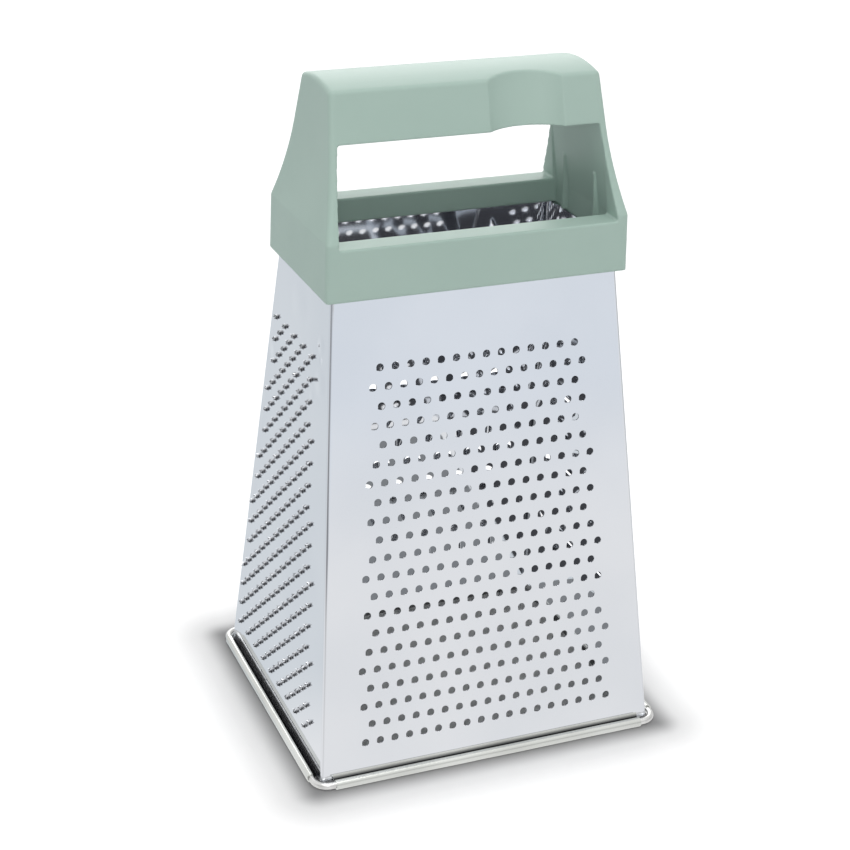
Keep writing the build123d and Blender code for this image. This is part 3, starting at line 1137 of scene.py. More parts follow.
@dataclass(frozen=True)
class Field:
    """Staggered rows of one face's holes: pitches, ends and margins to the folds."""

    pitch: float
    row_pitch: float
    foot: float
    head: float
    margin_low: float
    margin_high: float
    first: int
    shift: float = 0.0
    spare_rows: int = 2
    spare_columns: int = 5

    def settings(self, taper: Taper, wall: Wall) -> dict[str, object]:
        """Inputs of the lattice tool for a wall.

        Args:
            taper: the sheet's taper.
            wall: the wall.

        Returns:
            The inputs by name.
        """
        slant = taper.height / math.cos(wall.lean)
        rows = int((slant - self.head - self.foot) / self.row_pitch) + 1
        last = self.foot + (rows - 1) * self.row_pitch
        below = int(self.foot / self.row_pitch) + self.spare_rows
        above = int((slant - last) / self.row_pitch) + self.spare_rows
        widest = 2 * taper.half_of(wall, 0.0) + 2 * abs(self.shift)
        return {
            "Pitch": self.pitch, "Row pitch": self.row_pitch,
            "Columns": 2 * int(widest / self.pitch / 2) + self.spare_columns,
            "Rows": rows, "Rows below": below, "Rows in all": below + rows + above, "Foot": self.foot,
            "Half low": taper.half_of(wall, self.foot) - self.margin_low,
            "Half high": taper.half_of(wall, last) - self.margin_high,
            "First": self.first, "Shift": self.shift}


@dataclass(frozen=True)
class PunchedFace(Face):
    """A face whose field of cells comes from the lattice tool."""

    field: Field
    seed: int = 1
    crown_turns: int = 12
    crown_change: float = 0.0
    crown_height: float = 0.0
    sharp_over: float = 38.0

    def blank(self) -> Shell:
        """An unpunched cell.

        Returns:
            Its skin.
        """
        skin = Shell()
        skin.faces.append(tuple(skin.loop(cell_edge(self.field.pitch, self.field.row_pitch))))
        return skin

    def punched(self) -> Shell:
        """A punched cell."""
        return self.blank()

    def crown(self) -> Shell:
        """What stands on a punched cell, turned at random."""
        return Shell()

    def build(self, name: str, lattice: Tool) -> bpy.types.Object:
        """Makes the face.

        Args:
            name: the piece's name.
            lattice: the lattice tool.

        Returns:
            The piece.
        """
        skins = {"Punched": self.punched(), "Blank": self.blank(), "Crown": self.crown()}
        cells = {title: link(f"{name}_{title}".lower(), skin.mesh(title)) for title, skin in skins.items()}
        mesh = lattice.run(name, {
            **self.field.settings(self.taper, self.wall), **cells, "Seed": self.seed,
            "Material": self.material, "Crown height": self.crown_height,
            "Crown turns": float(self.crown_turns), "Crown change": self.crown_change})
        return self.piece(name, mesh, self.sharp_over)


@dataclass(frozen=True)
class FineFace(PunchedFace):
    """Round holes with a short torn tail where the punch left the sheet."""

    hole: float = 2.25
    tail: float = 0.34
    tail_turn: float = 217.0
    tail_spread: float = 10.0
    segments: int = 24

    def punched(self) -> Shell:
        """A cell with one hole.

        Returns:
            Its skin.
        """
        skin = Shell()
        edge = skin.loop(cell_edge(self.field.pitch, self.field.row_pitch))
        skin.fill(edge, skin.loop(self.mouth()))
        return skin

    def mouth(self) -> list[Point]:
        """The hole's circle with the tail's bulge towards one side.

        Returns:
            The points round the hole.
        """
        points = []
        for x, y, _ in ring(1.0, 0.0, self.segments):
            turn = (math.degrees(math.atan2(y, x)) - self.tail_turn + 180.0) % 360.0 - 180.0
            reach = self.hole / 2 + self.tail * math.exp(-(turn / self.tail_spread) ** 2)
            points.append((x * reach, y * reach, 0.0))
        return points


@dataclass(frozen=True)
class RaspFace(PunchedFace):
    """Nail holes burst outward: a small cone with a torn four-pointed crown, painted shade on one side of
    each cone, and a crown dark partly from oxide and partly from painted shade.

    Each row of profile_shares is the run towards the neck, the rise to the height, and the painted shade on
    the cone's dark side.
    """

    base: float = 1.95
    flat: float = 0.3
    neck: float = 1.35
    height: float = 0.72
    tear: float = 0.45
    tip: float = 0.76
    point_height: float = 0.40
    points: int = 4
    notch: float = 0.53
    notch_share: float = 0.3
    segments: int = 12
    # Side of every cone that gets the painted shade, in degrees, and how far round it spills.
    dark_side: float = -25.0
    dark_share: float = 0.25
    crown_shade_and_grime: float = 0.35
    profile_shares: tuple[tuple[float, float, float], ...] = (
        (0.0, 0.0, 0.3), (0.45, 0.12, 0.8), (0.85, 0.45, 1.6), (1.0, 1.0, 1.6))

    def punched(self) -> Shell:
        """A cell with one cone, open at its neck.

        Returns:
            Its skin.
        """
        skin = Shell()
        edge = skin.loop(cell_edge(self.field.pitch, self.field.row_pitch))
        rings = [skin.loop(ring(self.base / 2 + self.flat, 0.0, self.segments))]
        for run, rise, shade_and_grime in self.profile_shares:
            radius = (self.base + (self.neck - self.base) * run) / 2
            rings.append(skin.loop(ring(radius, self.height * rise, self.segments), self.painted_side_shade(shade_and_grime)))
        skin.fill(edge, rings[0])
        for outer, inner in zip(rings, rings[1:]):
            skin.bridge(outer, inner)
        return skin

    def painted_side_shade(self, shade_and_grime: float) -> list[float]:
        """Painted shade round one ring of the cone, most on one side, standing in for the dark reflection
        there.

        Args:
            shade_and_grime: the ring's painted shade on its dark side.

        Returns:
            One value for each point.
        """
        sides = [math.cos(math.tau * step / self.segments - math.radians(self.dark_side))
                 for step in range(self.segments)]
        return [min(max(shade_and_grime * (self.dark_share + side), 0.0), 1.0) for side in sides]

    def crown(self) -> Shell:
        """The torn edge, whose foot is the cone's neck.

        Returns:
            Its skin.
        """
        skin = Shell()
        # The crown's foot is darkened partly and its torn inside fully: partly oxide on the torn metal,
        # partly painted shade in the hole.
        foot = skin.loop(ring(self.neck / 2, 0.0, self.segments), self.crown_shade_and_grime)
        torn = []
        for step, (x, y, _) in enumerate(ring(1.0, 0.0, self.segments)):
            pointed = step % (self.segments // self.points) == 0
            radius = self.tip if pointed else self.notch
            height = self.point_height if pointed else self.point_height * self.notch_share
            torn.append((x * radius, y * radius, height))
        edge = skin.loop(torn)
        inside = skin.loop(ring(self.tear, 0.0, self.segments), 1.0)
        skin.bridge(foot, edge)
        skin.bridge(edge, inside)
        return skin


@dataclass(frozen=True)
class ShredderFace(PunchedFace):
    """Coarse teeth: a hood pressed outward under a half-round hole, its mouth to the top."""

    mouth: float = 5.8
    length: float = 6.6
    rise: float = 2.0
    narrowing: float = 1.6
    falling: float = 0.9
    arching: float = 0.75
    squareness: float = 0.25
    across_steps: int = 12
    along_steps: int = 7

    def punched(self) -> Shell:
        """A cell with one tooth.

        Returns:
            Its skin.
        """
        skin = Shell()
        edge = skin.loop(cell_edge(self.field.pitch, self.field.row_pitch))
        radius = self.mouth / 2
        rows = []
        for step in range(self.along_steps):
            run = step / self.along_steps
            half = radius * (1 - run ** self.narrowing)
            rise = self.rise * (1 - run) ** self.falling
            row = []
            for column in range(self.across_steps + 1):
                share = 2 * column / self.across_steps - 1
                shape = (1 - share ** 2) ** self.arching * (1 + self.squareness * share ** 2)
                row.append((half * share, -self.length * run, rise * shape))
            rows.append(skin.loop(row))
        apex = skin.loop([(0.0, -self.length, 0.0)])[0]
        for upper, lower in zip(rows, rows[1:]):
            skin.bridge(lower, upper, closed=False)
        for left, right in zip(rows[-1], rows[-1][1:]):
            skin.faces.append((apex, right, left))
        hole = []
        for step in range(1, self.across_steps):
            turn = math.pi * step / self.across_steps
            hole.append((radius * math.cos(turn), radius * math.sin(turn), 0.0))
        arch = skin.loop(hole)
        left_side = [row[0] for row in rows]
        right_side = [row[-1] for row in rows]
        skin.fill(edge, left_side + [apex] + right_side[::-1] + arch)
        return skin


@dataclass(frozen=True)
class SlicerFace(Face):
    """Slicing blades: strips of the sheet raised to an edge over an open slot."""

    spacing: float = 26.0
    lowest: float = 33.0
    head: float = 40.0
    margin_low: float = 8.5
    margin_high: float = 10.3
    length: float = 9.0
    rise: float = 1.7
    slot: float = 3.4
    shoulder: float = 3.0
    lip_sink: float = 0.35
    curved_share: float = 0.4
    straight_share: float = 0.6
    column_steps: int = 30
    shoulder_steps: int = 6
    lip_steps: int = 4
    blade_steps: int = 8
    least_column: float = 0.05

    def blades(self) -> list[tuple[float, float]]:
        """Where the cutting edges lie.

        Returns:
            How far up the sheet each edge lies, and half of its length.
        """
        slant = self.taper.height / math.cos(self.wall.lean)
        count = int((slant - self.head - self.lowest) / self.spacing) + 1
        runs = [self.lowest + number * self.spacing for number in range(count)]
        low = self.taper.half_of(self.wall, runs[0]) - self.margin_low
        high = self.taper.half_of(self.wall, runs[-1]) - self.margin_high
        return [(run, low + (high - low) * number / (count - 1)) for number, run in enumerate(runs)]

    def lift(self, x: float, run: float, above_edge: bool) -> float:
        """Height of the sheet over its flat.

        Args:
            x: place across the wall.
            run: place up the wall.
            above_edge: whether the point belongs to the sheet above a slot, not to a blade.

        Returns:
            The height.
        """
        for edge, half in self.blades():
            side = min(max((half - abs(x)) / self.shoulder, 0.0), 1.0)
            side = side * side * (3 - 2 * side)
            if not above_edge and edge - self.length <= run <= edge:
                climb = (run - edge + self.length) / self.length
                curved = climb * climb * (3 - 2 * climb) * self.curved_share
                return self.rise * side * (curved + climb * self.straight_share)
            if above_edge and edge + self.slot <= run <= edge + self.slot + self.shoulder:
                fall = 1 - (run - edge - self.slot) / self.shoulder
                return -self.lip_sink * side * fall * fall
        return 0.0

    def build(self, name: str) -> bpy.types.Object:
        """Makes the face.

        Args:
            name: the piece's name.

        Returns:
            The piece.
        """
        blades = self.blades()
        half_wall = self.taper.half_of(self.wall, 0.0) + self.shoulder
        columns = {half_wall * (2 * step / self.column_steps - 1) for step in range(self.column_steps + 1)}
        for _, half in blades:
            for step in range(self.shoulder_steps + 1):
                columns |= {side * (half - self.shoulder * step / self.shoulder_steps) for side in (-1, 1)}
        columns = sorted(columns)
        gaps = [math.inf] + [right - left for left, right in zip(columns, columns[1:])]
        columns = [x for x, gap in zip(columns, gaps) if gap > self.least_column]
        skin = Shell()
        start = 0.0
        for edge, half in blades + [(self.taper.height + self.spacing, 0.0)]:
            above = [start]
            if start:
                above = [start + self.shoulder * step / self.lip_steps for step in range(self.lip_steps + 1)]
            blade = [edge - self.length + self.length * step / self.blade_steps
                     for step in range(self.blade_steps + 1)]
            rows = [skin.loop([(x, run, self.lift(x, run, run in above)) for x in columns])
                    for run in above + blade]
            for lower, upper in zip(rows, rows[1:]):
                skin.bridge(lower, upper, closed=False)
            if half:
                start = edge + self.slot
                ends = skin.loop([(x, start, self.lift(x, start, True)) for x in columns])
                solid = [number for number, x in enumerate(columns) if abs(x) >= half - self.least_column / 5]
                for left, right in zip(solid, solid[1:]):
                    if right == left + 1:
                        skin.faces.append((rows[-1][left], rows[-1][right], ends[right], ends[left]))
        mesh = skin.mesh(name)
        with editing(mesh) as bm:
            bmesh.ops.remove_doubles(bm, verts=bm.verts, dist=WELD)
        mesh.materials.append(self.material)
        return self.piece(name, mesh, SHARP_SHEET)


# The foot

@dataclass(frozen=True)
class Hem:
    """The foot of a wall, led outward and rolled round the wire, with painted shade in its groove."""

    taper: Taper
    wall: Wall
    end_angle: float
    # Top, reach from the wall and softness of the painted shade in the groove.
    groove_shade_top: float
    groove_shade_edge: float = 1.2
    groove_shade_blur: float = 0.7
    web_steps: int = 6
    roll_steps: int = 30
    step: float = 1.0
    wobble: float = 0.14
    wobble_size: float = 12.0

    def centre_line(self) -> list[tuple[float, float]]:
        """Middle of the sheet's section: distance from the part's middle, and height.

        Returns:
            The points, from the wall to the end of the roll.
        """
        taper = self.taper
        mid = taper.roll_mid
        centre = (self.wall.half_run + taper.wire_stand_off, taper.roll_height)
        start = (self.wall.half_run - self.wall.slope * taper.hem_top
                 - taper.sheet / 2 / math.cos(self.wall.lean), taper.hem_top)
        run = (centre[0] - start[0], centre[1] - start[1])
        distance = math.hypot(*run)
        touch = math.atan2(-run[1], -run[0]) + math.acos(mid / distance)
        touch %= math.tau
        contact = (centre[0] + mid * math.cos(touch), centre[1] + mid * math.sin(touch))
        tangent = (-math.sin(touch), math.cos(touch))
        reach = math.dist(start, contact) / 3
        first = (start[0] + self.wall.slope * reach, start[1] - reach)
        second = (contact[0] - tangent[0] * reach, contact[1] - tangent[1] * reach)
        points = []
        for step in range(self.web_steps):
            share = step / self.web_steps
            rest = 1 - share
            weights = np.array((rest ** 3, 3 * share * rest ** 2, 3 * share ** 2 * rest, share ** 3))
            points.append(tuple(weights @ np.array((start, first, second, contact))))
        sweep = math.tau + math.radians(self.end_angle) - touch
        for step in range(self.roll_steps + 1):
            turn = touch + sweep * step / self.roll_steps
            points.append((centre[0] + mid * math.cos(turn), centre[1] + mid * math.sin(turn)))
        return points

    def section(self) -> list[Point]:
        """Closed outline of the sheet's section, with its height turned down for the sweep.

        Returns:
            The outline.
        """
        line = np.array(self.centre_line())
        along = np.gradient(line, axis=0)
        along /= np.linalg.norm(along, axis=1)[:, None]
        normal = np.stack((-along[:, 1], along[:, 0]), axis=1) * self.taper.sheet / 2
        outline = np.concatenate((line + normal, (line - normal)[::-1]))
        outline[:, 1] = np.maximum(outline[:, 1], 0.0)
        return [(x, -y, 0.0) for x, y in outline]

    def build(self, name: str, sweep: Tool, seed: float, material: bpy.types.Material) -> bpy.types.Object:
        """Makes the hem.

        Args:
            name: the piece's name.
            sweep: the sweep tool.
            seed: seed of the uneven surface.
            material: its finish.

        Returns:
            The piece.
        """
        half = self.taper.hem_half(self.wall)
        right = self.wall.axes()[1]
        path = line_object(name + "_path", [tuple(right * -half), tuple(right * half)], False)
        outline = line_object(name + "_section", self.section(), True)
        mesh = sweep.run(name, {"Path": path, "Section": outline, "Step": self.step, "Wobble": self.wobble,
                                "Wobble size": self.wobble_size, "Level": self.taper.hem_top, "Seed": seed,
                                "Material": material})
        soil(mesh, self.groove_shade(mesh))
        return finish_piece(name, settle(mesh), "grater_body")

    def groove_shade(self, mesh: bpy.types.Mesh) -> np.ndarray:
        """Painted shade in the groove between the wall and the roll.

        Args:
            mesh: the hem's mesh, in millimetres.

        Returns:
            One value from zero to one for each vertex.
        """
        points = np.array([vert.co for vert in mesh.vertices])
        level = self.wall.axes()[0] / self.wall.half_run
        out = points @ level - self.wall.half_run
        beside = np.clip((self.groove_shade_edge - out) / self.groove_shade_blur, 0.0, 1.0)
        below = np.clip((self.groove_shade_top - points[:, 2]) / self.groove_shade_blur, 0.0, 1.0)
        return beside * below


def settle(mesh: bpy.types.Mesh) -> bpy.types.Mesh:
    """Turns a swept mesh's faces outward, keeps it over the floor and brings it to metres.

    Args:
        mesh: the mesh in millimetres.

    Returns:
        The same mesh.
    """
    with editing(mesh) as bm:
        bmesh.ops.recalc_face_normals(bm, faces=bm.faces)
        for vert in bm.verts:
            vert.co.z = max(vert.co.z, 0.0)
        bmesh.ops.scale(bm, vec=(MM, MM, MM), verts=bm.verts)
    smooth(mesh, SHARP_ROLLED)
    return mesh


@dataclass(frozen=True)
class BaseWire:
    """Wire bent round the foot, bare at the corners, its ends meeting behind."""

    taper: Taper
    bend: float = 4.2
    joint_gap: float = 0.5
    corner_steps: int = 10
    section_steps: int = 20
    step: float = 0.9
    wobble: float = 0.05
    wobble_size: float = 14.0
    seed: float = 4.0

    def path(self) -> list[Point]:
        """Centre line of the wire from one end round to the other.

        Returns:
            The points.
        """
        half_x = self.taper.base_width / 2 + self.taper.wire_stand_off
        half_y = self.taper.base_depth / 2 + self.taper.wire_stand_off
        z = self.taper.roll_height
        points = [(self.joint_gap / 2, half_y, z)]
        for number, (side_x, side_y) in enumerate(((1, 1), (1, -1), (-1, -1), (-1, 1))):
            centre = (side_x * (half_x - self.bend), side_y * (half_y - self.bend))
            for step in range(self.corner_steps + 1):
                turn = math.pi / 2 * (1 - number - step / self.corner_steps)
                reach = (self.bend * math.cos(turn), self.bend * math.sin(turn))
                points.append((centre[0] + reach[0], centre[1] + reach[1], z))
        points.append((-self.joint_gap / 2, half_y, z))
        return points

    def build(self, name: str, sweep: Tool, material: bpy.types.Material) -> bpy.types.Object:
        """Makes the wire.

        Args:
            name: the piece's name.
            sweep: the sweep tool.
            material: its finish.

        Returns:
            The piece.
        """
        path = line_object(name + "_path", self.path(), False)
        outline = line_object(name + "_section", ring(self.taper.wire / 2, 0.0, self.section_steps), True)
        mesh = sweep.run(name, {"Path": path, "Section": outline, "Step": self.step, "Wobble": self.wobble,
                                "Wobble size": self.wobble_size, "Level": self.taper.wire * 2,
                                "Seed": self.seed, "Material": material})
        return finish_piece(name, settle(mesh), "base_wire")


@dataclass(frozen=True)
class LockSeam:
    """Folded layers that close the sheet, inside the slicer wall beside the rear fold."""

    taper: Taper
    width: float = 5.0
    layers: int = 2
    setback: float = 1.6
    bond: float = 0.1
    round_steps: int = 6

    def build(self, name: str, material: bpy.types.Material) -> bpy.types.Object:
        """Makes the seam.

        Args:
            name: the piece's name.
            material: its finish.

        Returns:
            The piece.
        """
        taper = self.taper
        thickness = self.layers * taper.sheet + self.bond
        layer = thickness / self.layers
        skin = Shell()
        rows = []
        for z in (taper.hem_top, taper.height - taper.side_drop):
            x = taper.half_width(z) - taper.sheet / math.cos(taper.slicer.lean) + self.bond
            y = taper.half_depth(z) - self.setback
            outline = [(x, y, z)]
            for number in range(self.layers):
                middle = x - layer * (number + 0.5)
                edge = y if number == 0 else y - layer
                for step in range(self.round_steps + 1):
                    turn = math.pi * step / self.round_steps
                    across, along = layer / 2 * math.cos(turn), layer / 2 * math.sin(turn)
                    outline.append((middle + across, edge - layer / 2 + along, z))
            outline += [(x - thickness, y - self.width, z), (x, y - self.width, z)]
            rows.append(skin.loop(outline))
        skin.bridge(rows[0], rows[1])
        skin.faces += [tuple(reversed(rows[0])), tuple(rows[1])]
        mesh = skin.mesh(name)
        with editing(mesh) as bm:
            bmesh.ops.remove_doubles(bm, verts=bm.verts, dist=WELD)
            bmesh.ops.recalc_face_normals(bm, faces=bm.faces)
            bmesh.ops.scale(bm, vec=(MM, MM, MM), verts=bm.verts)
        mesh.materials.append(material)
        smooth(mesh, SHARP_ROLLED)
        return finish_piece(name, mesh, "grater_body")


# The handle

@dataclass(frozen=True)
class Handle:
    """The moulding, taken from its CAD solid with its edges rounded as a mould rounds them."""

    cell: float = 0.36
    soften: float = 0.5
    passes: int = 3
    keep: float = 0.4

    def build(self, name: str, material: bpy.types.Material) -> bpy.types.Object:
        """Makes the handle.

        Args:
            name: the piece's name.
            material: its finish.

        Returns:
            The piece.
        """
        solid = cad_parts["handle"].data.copy()
        solid.materials.clear()
        solid.materials.append(material)
        with editing(solid) as bm:
            bmesh.ops.remove_doubles(bm, verts=bm.verts, dist=WELD * MM)
        blank = link(name + "_blank", solid)
        skin = blank.modifiers.new("even_skin", "REMESH")
        skin.mode = "VOXEL"
        skin.voxel_size = self.cell * MM
        rounding = blank.modifiers.new("rounded_edges", "SMOOTH")
        rounding.factor = self.soften
        rounding.iterations = self.passes
        fewer = blank.modifiers.new("fewer_faces", "DECIMATE")
        fewer.ratio = self.keep
        bpy.context.view_layer.update()
        graph = bpy.context.evaluated_depsgraph_get()
        mesh = bpy.data.meshes.new_from_object(blank.evaluated_get(graph), depsgraph=graph)
        bpy.data.objects.remove(blank)
        smooth(mesh, SHARP_MOULDED)
        return finish_piece(name, mesh, "handle")


# The studio

@dataclass(frozen=True)
class Lamp:
    """A soft rectangular lamp: place and aim in metres, size and power."""

    name: str
    place: Point
    aim: Point
    size: float
    power: float

    def build(self) -> bpy.types.Object:
        """Hangs the lamp.

        Returns:
            The lamp's object.
        """
        data = bpy.data.lights.new(self.name, "AREA")
        data.shape = "SQUARE"
        data.size = self.size
        data.energy = self.power
        lamp = link(self.name, data)
        lamp.location = self.place
        lamp.rotation_mode = "QUATERNION"
        lamp.rotation_quaternion = (Vector(self.aim) - Vector(self.place)).to_track_quat("-Z", "Y")
        return lamp


@dataclass(frozen=True)
class Studio:
    """Pale floor, soft lamps, and the camera that took the photograph.

    The eye is in millimetres and the angles in degrees. The footprint and what lies under the
    grater are half widths and half depths in metres. Every other pair of places is where a smooth
    change starts and ends: in metres on the floor, or as a share of a unit direction for the
    backdrop and the ceiling.
    """

    eye: Point = (-207.81, -491.33, 332.59)
    yaw: float = 22.35
    pitch: float = 24.68
    roll: float = -1.55
    focal_pixels: float = 1929.44
    centre_pixels: tuple[float, float] = (423.08, 430.75)
    image_pixels: float = 850.0
    sensor: float = 36.0
    clip: Range = (0.01, 50.0)
    floor_size: float = 8.0
    floor_colour: Colour = (0.80, 0.80, 0.80)
    floor_lift: float = 0.42
    lift_reach: float = 0.026
    # Darker floor colour close round the foot, a painted contact shadow, and how far it reaches in metres.
    painted_shadow_colour: Colour = (0.32, 0.32, 0.325)
    painted_shadow_reach: float = 0.009
    footprint: tuple[float, float] = (0.0555, 0.0475)
    near_glow: Colour = (1.0, 1.0, 1.0)
    far_glow: Colour = (0.91, 0.95, 1.0)
    rear_glow: Colour = (0.80, 0.84, 0.87)
    card_glow: Colour = (0.46, 0.47, 0.49)
    # Reflected floor inside the foot: painted shade, darker for light mirrored twice.
    painted_under_shade: Colour = (0.27, 0.28, 0.29)
    painted_deep_shade: Colour = (0.09, 0.09, 0.095)
    once_mirrored: float = 1.5
    under: tuple[float, float] = (0.052, 0.044)
    front_fade: Range = (0.15, 1.0)
    rear_fade: Range = (-0.05, 0.03)
    card_side: Range = (0.18, 0.36)
    card_near: Range = (0.0, 0.14)
    card_far: Range = (0.36, 0.60)
    backdrop: Range = (-0.1, 0.4)
    ceiling: Range = (0.38, 0.55)
    room: float = 0.72
    ambient: float = 0.56
    lamps: tuple[Lamp, ...] = (
        Lamp("top_lamp", (-0.1, -0.4, 1.5), (0.0, 0.0, 0.1), 0.8, 6.5),
        Lamp("rear_lamp", (0.45, 1.85, 0.95), (0.0, 0.0, 0.15), 1.4, 9.0),
        Lamp("front_lamp", (-0.5, -1.8, 1.0), (0.0, 0.0, 0.12), 0.8, 3.5),
    )

    def build(self) -> None:
        """Sets up camera, floor, lamps and world."""
        self.camera()
        self.floor()
        self.world()
        for lamp in self.lamps:
            lamp.build()
        bpy.context.scene.view_settings.view_transform = "Standard"

    def camera(self) -> None:
        """Makes the camera and sets it as the scene's."""
        yaw, pitch, roll = (math.radians(angle) for angle in (self.yaw, self.pitch, self.roll))
        level_run = math.cos(pitch)
        forward = Vector((math.sin(yaw) * level_run, math.cos(yaw) * level_run, -math.sin(pitch)))
        level = Vector((math.cos(yaw), -math.sin(yaw), 0.0))
        down = forward.cross(level)
        right = level * math.cos(roll) + down * math.sin(roll)
        below = down * math.cos(roll) - level * math.sin(roll)
        data = bpy.data.cameras.new("camera")
        data.sensor_width = self.sensor
        data.lens = self.focal_pixels * self.sensor / self.image_pixels
        data.shift_x = (self.image_pixels / 2 - self.centre_pixels[0]) / self.image_pixels
        data.shift_y = (self.centre_pixels[1] - self.image_pixels / 2) / self.image_pixels
        data.clip_start, data.clip_end = self.clip
        camera = link("camera", data)
        turned = Matrix((right, -below, -forward)).transposed().to_4x4()
        camera.matrix_world = Matrix.Translation(Vector(self.eye) * MM) @ turned
        bpy.context.scene.camera = camera

    def floor(self) -> None:
        """Lays the floor.

        The camera sees a matt floor. Close round the foot its colour is darker, a painted contact shadow, and
        its lift to white starts only away from the foot, which deepens that painted shadow. Reflections show
        the mirrored table instead.
        """
        skin = Shell()
        half = self.floor_size / 2
        corners = [(-half, -half, 0.0), (half, -half, 0.0), (half, half, 0.0), (-half, half, 0.0)]
        skin.faces.append(tuple(skin.loop(corners)))
        material = bpy.data.materials.new("pale_floor")
        material.use_nodes = True
        graph = Graph(material.node_tree)
        material.node_tree.nodes.remove(material.node_tree.nodes["Principled BSDF"])
        path = graph.node("ShaderNodeLightPath")
        camera, glossy, through = (Value(graph, path.outputs[name])
                                   for name in ("Is Camera Ray", "Is Glossy Ray", "Is Transmission Ray"))
        x, y, _ = graph.axes(graph.node("ShaderNodeTexCoord").outputs["Object"])
        beside = (abs(x) - self.footprint[0]).math("MAXIMUM", 0.0)
        before = (abs(y) - self.footprint[1]).math("MAXIMUM", 0.0)
        away = (beside * beside + before * before).power(0.5)
        outside_painted_shadow = away.ramp(0.0, self.painted_shadow_reach).math("MAXIMUM", self.below_grater(x, y))
        colour = graph.tint(outside_painted_shadow, self.painted_shadow_colour, self.floor_colour)
        matt = graph.node("ShaderNodeBsdfDiffuse", None, {"Color": colour})
        seen = camera.math("MAXIMUM", through) * self.floor_lift
        lift = graph.node("ShaderNodeEmission", None, {"Strength": seen * away.ramp(0.0, self.lift_reach)})
        plain = graph.node("ShaderNodeAddShader", None, {0: matt.outputs[0], 1: lift.outputs[0]})
        deep = Value(graph, path.outputs["Glossy Depth"]).above(self.once_mirrored)
        table = graph.node("ShaderNodeEmission", None, {"Color": self.mirrored_table(graph, deep)})
        both = graph.node("ShaderNodeMixShader", None, {0: glossy, 1: plain.outputs[0], 2: table.outputs[0]})
        graph.feed(material.node_tree.nodes["Material Output"].inputs["Surface"], both.outputs[0])
        mesh = skin.mesh("floor")
        mesh.materials.append(material)
        link("floor", mesh)

    def below_grater(self, x: Value, y: Value) -> Value:
        """One on the floor inside the foot, zero elsewhere."""
        return abs(x).below(self.under[0]) * abs(y).below(self.under[1])

    def mirrored_table(self, graph: Graph, deep: Value) -> bpy.types.NodeSocket:
        """Colour of the floor in reflections.

        It is a pale table, a little cooler far in front and duller behind, with a grey card to the left.
        Inside the foot it is dark, a painted shade where the grater shades the floor, and darker in light
        that was mirrored twice.

        Args:
            graph: the floor material's graph.
            deep: one for light mirrored more than once.

        Returns:
            The colour.
        """
        x, y, _ = graph.axes(graph.node("ShaderNodeTexCoord").outputs["Object"])
        front = graph.tint((-y).ramp(*self.front_fade), self.near_glow, self.far_glow)
        table = graph.tint(y.ramp(*self.rear_fade), front, self.rear_glow)
        card = (-x).ramp(*self.card_side) * (-y).ramp(*self.card_near) * (1.0 - (-y).ramp(*self.card_far))
        beside = graph.tint(card, table, self.card_glow)
        inside = graph.tint(deep, self.painted_under_shade, self.painted_deep_shade)
        return graph.tint(self.below_grater(x, y), beside, inside)

    def world(self) -> None:
        """Surrounds the grater.

        The camera sees white. Reflections show a pale room with a white backdrop behind and a white
        ceiling, and everything else gets even light.
        """
        world = bpy.data.worlds.new("surround")
        bpy.context.scene.world = world
        world.use_nodes = True
        graph = Graph(world.node_tree)
        path = graph.node("ShaderNodeLightPath")
        camera = Value(graph, path.outputs["Is Camera Ray"])
        glossy = Value(graph, path.outputs["Is Glossy Ray"])
        _, behind, above = graph.axes(graph.node("ShaderNodeTexCoord").outputs["Generated"])
        white = behind.ramp(*self.backdrop).math("MAXIMUM", above.ramp(*self.ceiling))
        mirrored = white * (1.0 - self.room) + self.room
        lit = glossy * mirrored + (1.0 - glossy) * self.ambient
        strength = camera + (1.0 - camera) * lit
        graph.feed(world.node_tree.nodes["Background"].inputs["Strength"], strength)
        world.node_tree.nodes["Background"].inputs["Color"].default_value = (1.0, 1.0, 1.0, 1.0)


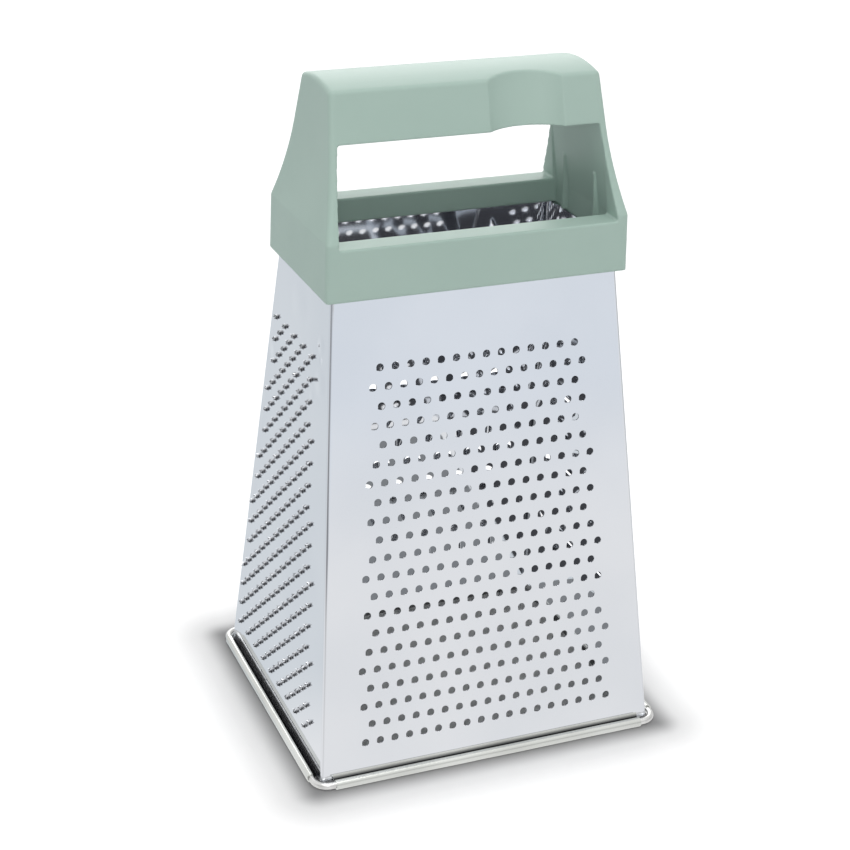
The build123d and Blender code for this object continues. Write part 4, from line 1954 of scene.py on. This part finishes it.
def build_sheet(taper: Taper, sheet: bpy.types.Material, rolled: bpy.types.Material,
                lattice: Tool, sweep: Tool) -> None:
    """Builds the four faces, their folds and hems, and the seam.

    Args:
        taper: the sheet's taper.
        sheet: its finish.
        rolled: the finish of its rolled foot.
        lattice: the lattice tool.
        sweep: the sweep tool.
    """
    front_left, front_right = Fold(taper, -1, -1), Fold(taper, 1, -1)
    rear_left, rear_right = Fold(taper, -1, 1), Fold(taper, 1, 1)
    fine = Field(pitch=4.64, row_pitch=5.65, foot=11.6, head=30.0, margin_low=11.4, margin_high=12.8, first=1)
    burst = Field(pitch=8.16, row_pitch=3.5, foot=10.9, head=30.6, margin_low=6.6, margin_high=9.9,
                  first=0, shift=-4.5)
    coarse = Field(pitch=10.8, row_pitch=9.6, foot=23.0, head=34.0, margin_low=11.0, margin_high=11.0,
                   first=1)
    FineFace(taper, taper.front, (front_left, front_right), sheet, fine).build("fine_face", lattice)
    RaspFace(taper, taper.rasp, (front_left, rear_left), sheet, burst,
             crown_change=0.3, crown_height=RaspFace.height).build("rasp_face", lattice)
    ShredderFace(taper, taper.rear, (rear_left, rear_right), sheet, coarse,
                 sharp_over=SHARP_MOULDED).build("shredder_face", lattice)
    SlicerFace(taper, taper.slicer, (front_right, rear_right), sheet).build("slicer_face")
    for name, fold in (("fold_front_left", front_left), ("fold_front_right", front_right),
                       ("fold_rear_left", rear_left), ("fold_rear_right", rear_right)):
        fold.build(name, sheet)
    # The last number of each hem is the top of the painted shade in its groove.
    for number, (name, wall, end_angle, groove_shade_top) in enumerate((
            ("hem_front", taper.front, 150.0, 3.0), ("hem_slicer", taper.slicer, 120.0, 3.0),
            ("hem_rear", taper.rear, 140.0, 2.6), ("hem_rasp", taper.rasp, 104.0, 3.9))):
        seed = HEM_SEED + HEM_SEED_STEP * number
        Hem(taper, wall, end_angle, groove_shade_top).build(name, sweep, seed, rolled)
    LockSeam(taper).build("lock_seam", sheet)


def main() -> None:
    """Builds the grater and its studio."""
    taper = Taper()
    sheet = SheetFinish().material()
    rolled = SheetFinish(name="rolled_edge", bright=(0.71, 0.725, 0.70), dull=(0.58, 0.59, 0.565),
                         roughness=0.22, dents=()).material()
    lattice, sweep = lattice_tool(), sweep_tool()
    build_sheet(taper, sheet, rolled, lattice, sweep)
    BaseWire(taper).build("hem_wire", sweep, WireFinish().material())
    Handle().build("moulded_handle", PlasticFinish().material())
    Studio().build()


if __name__ == "__main__":
    main()
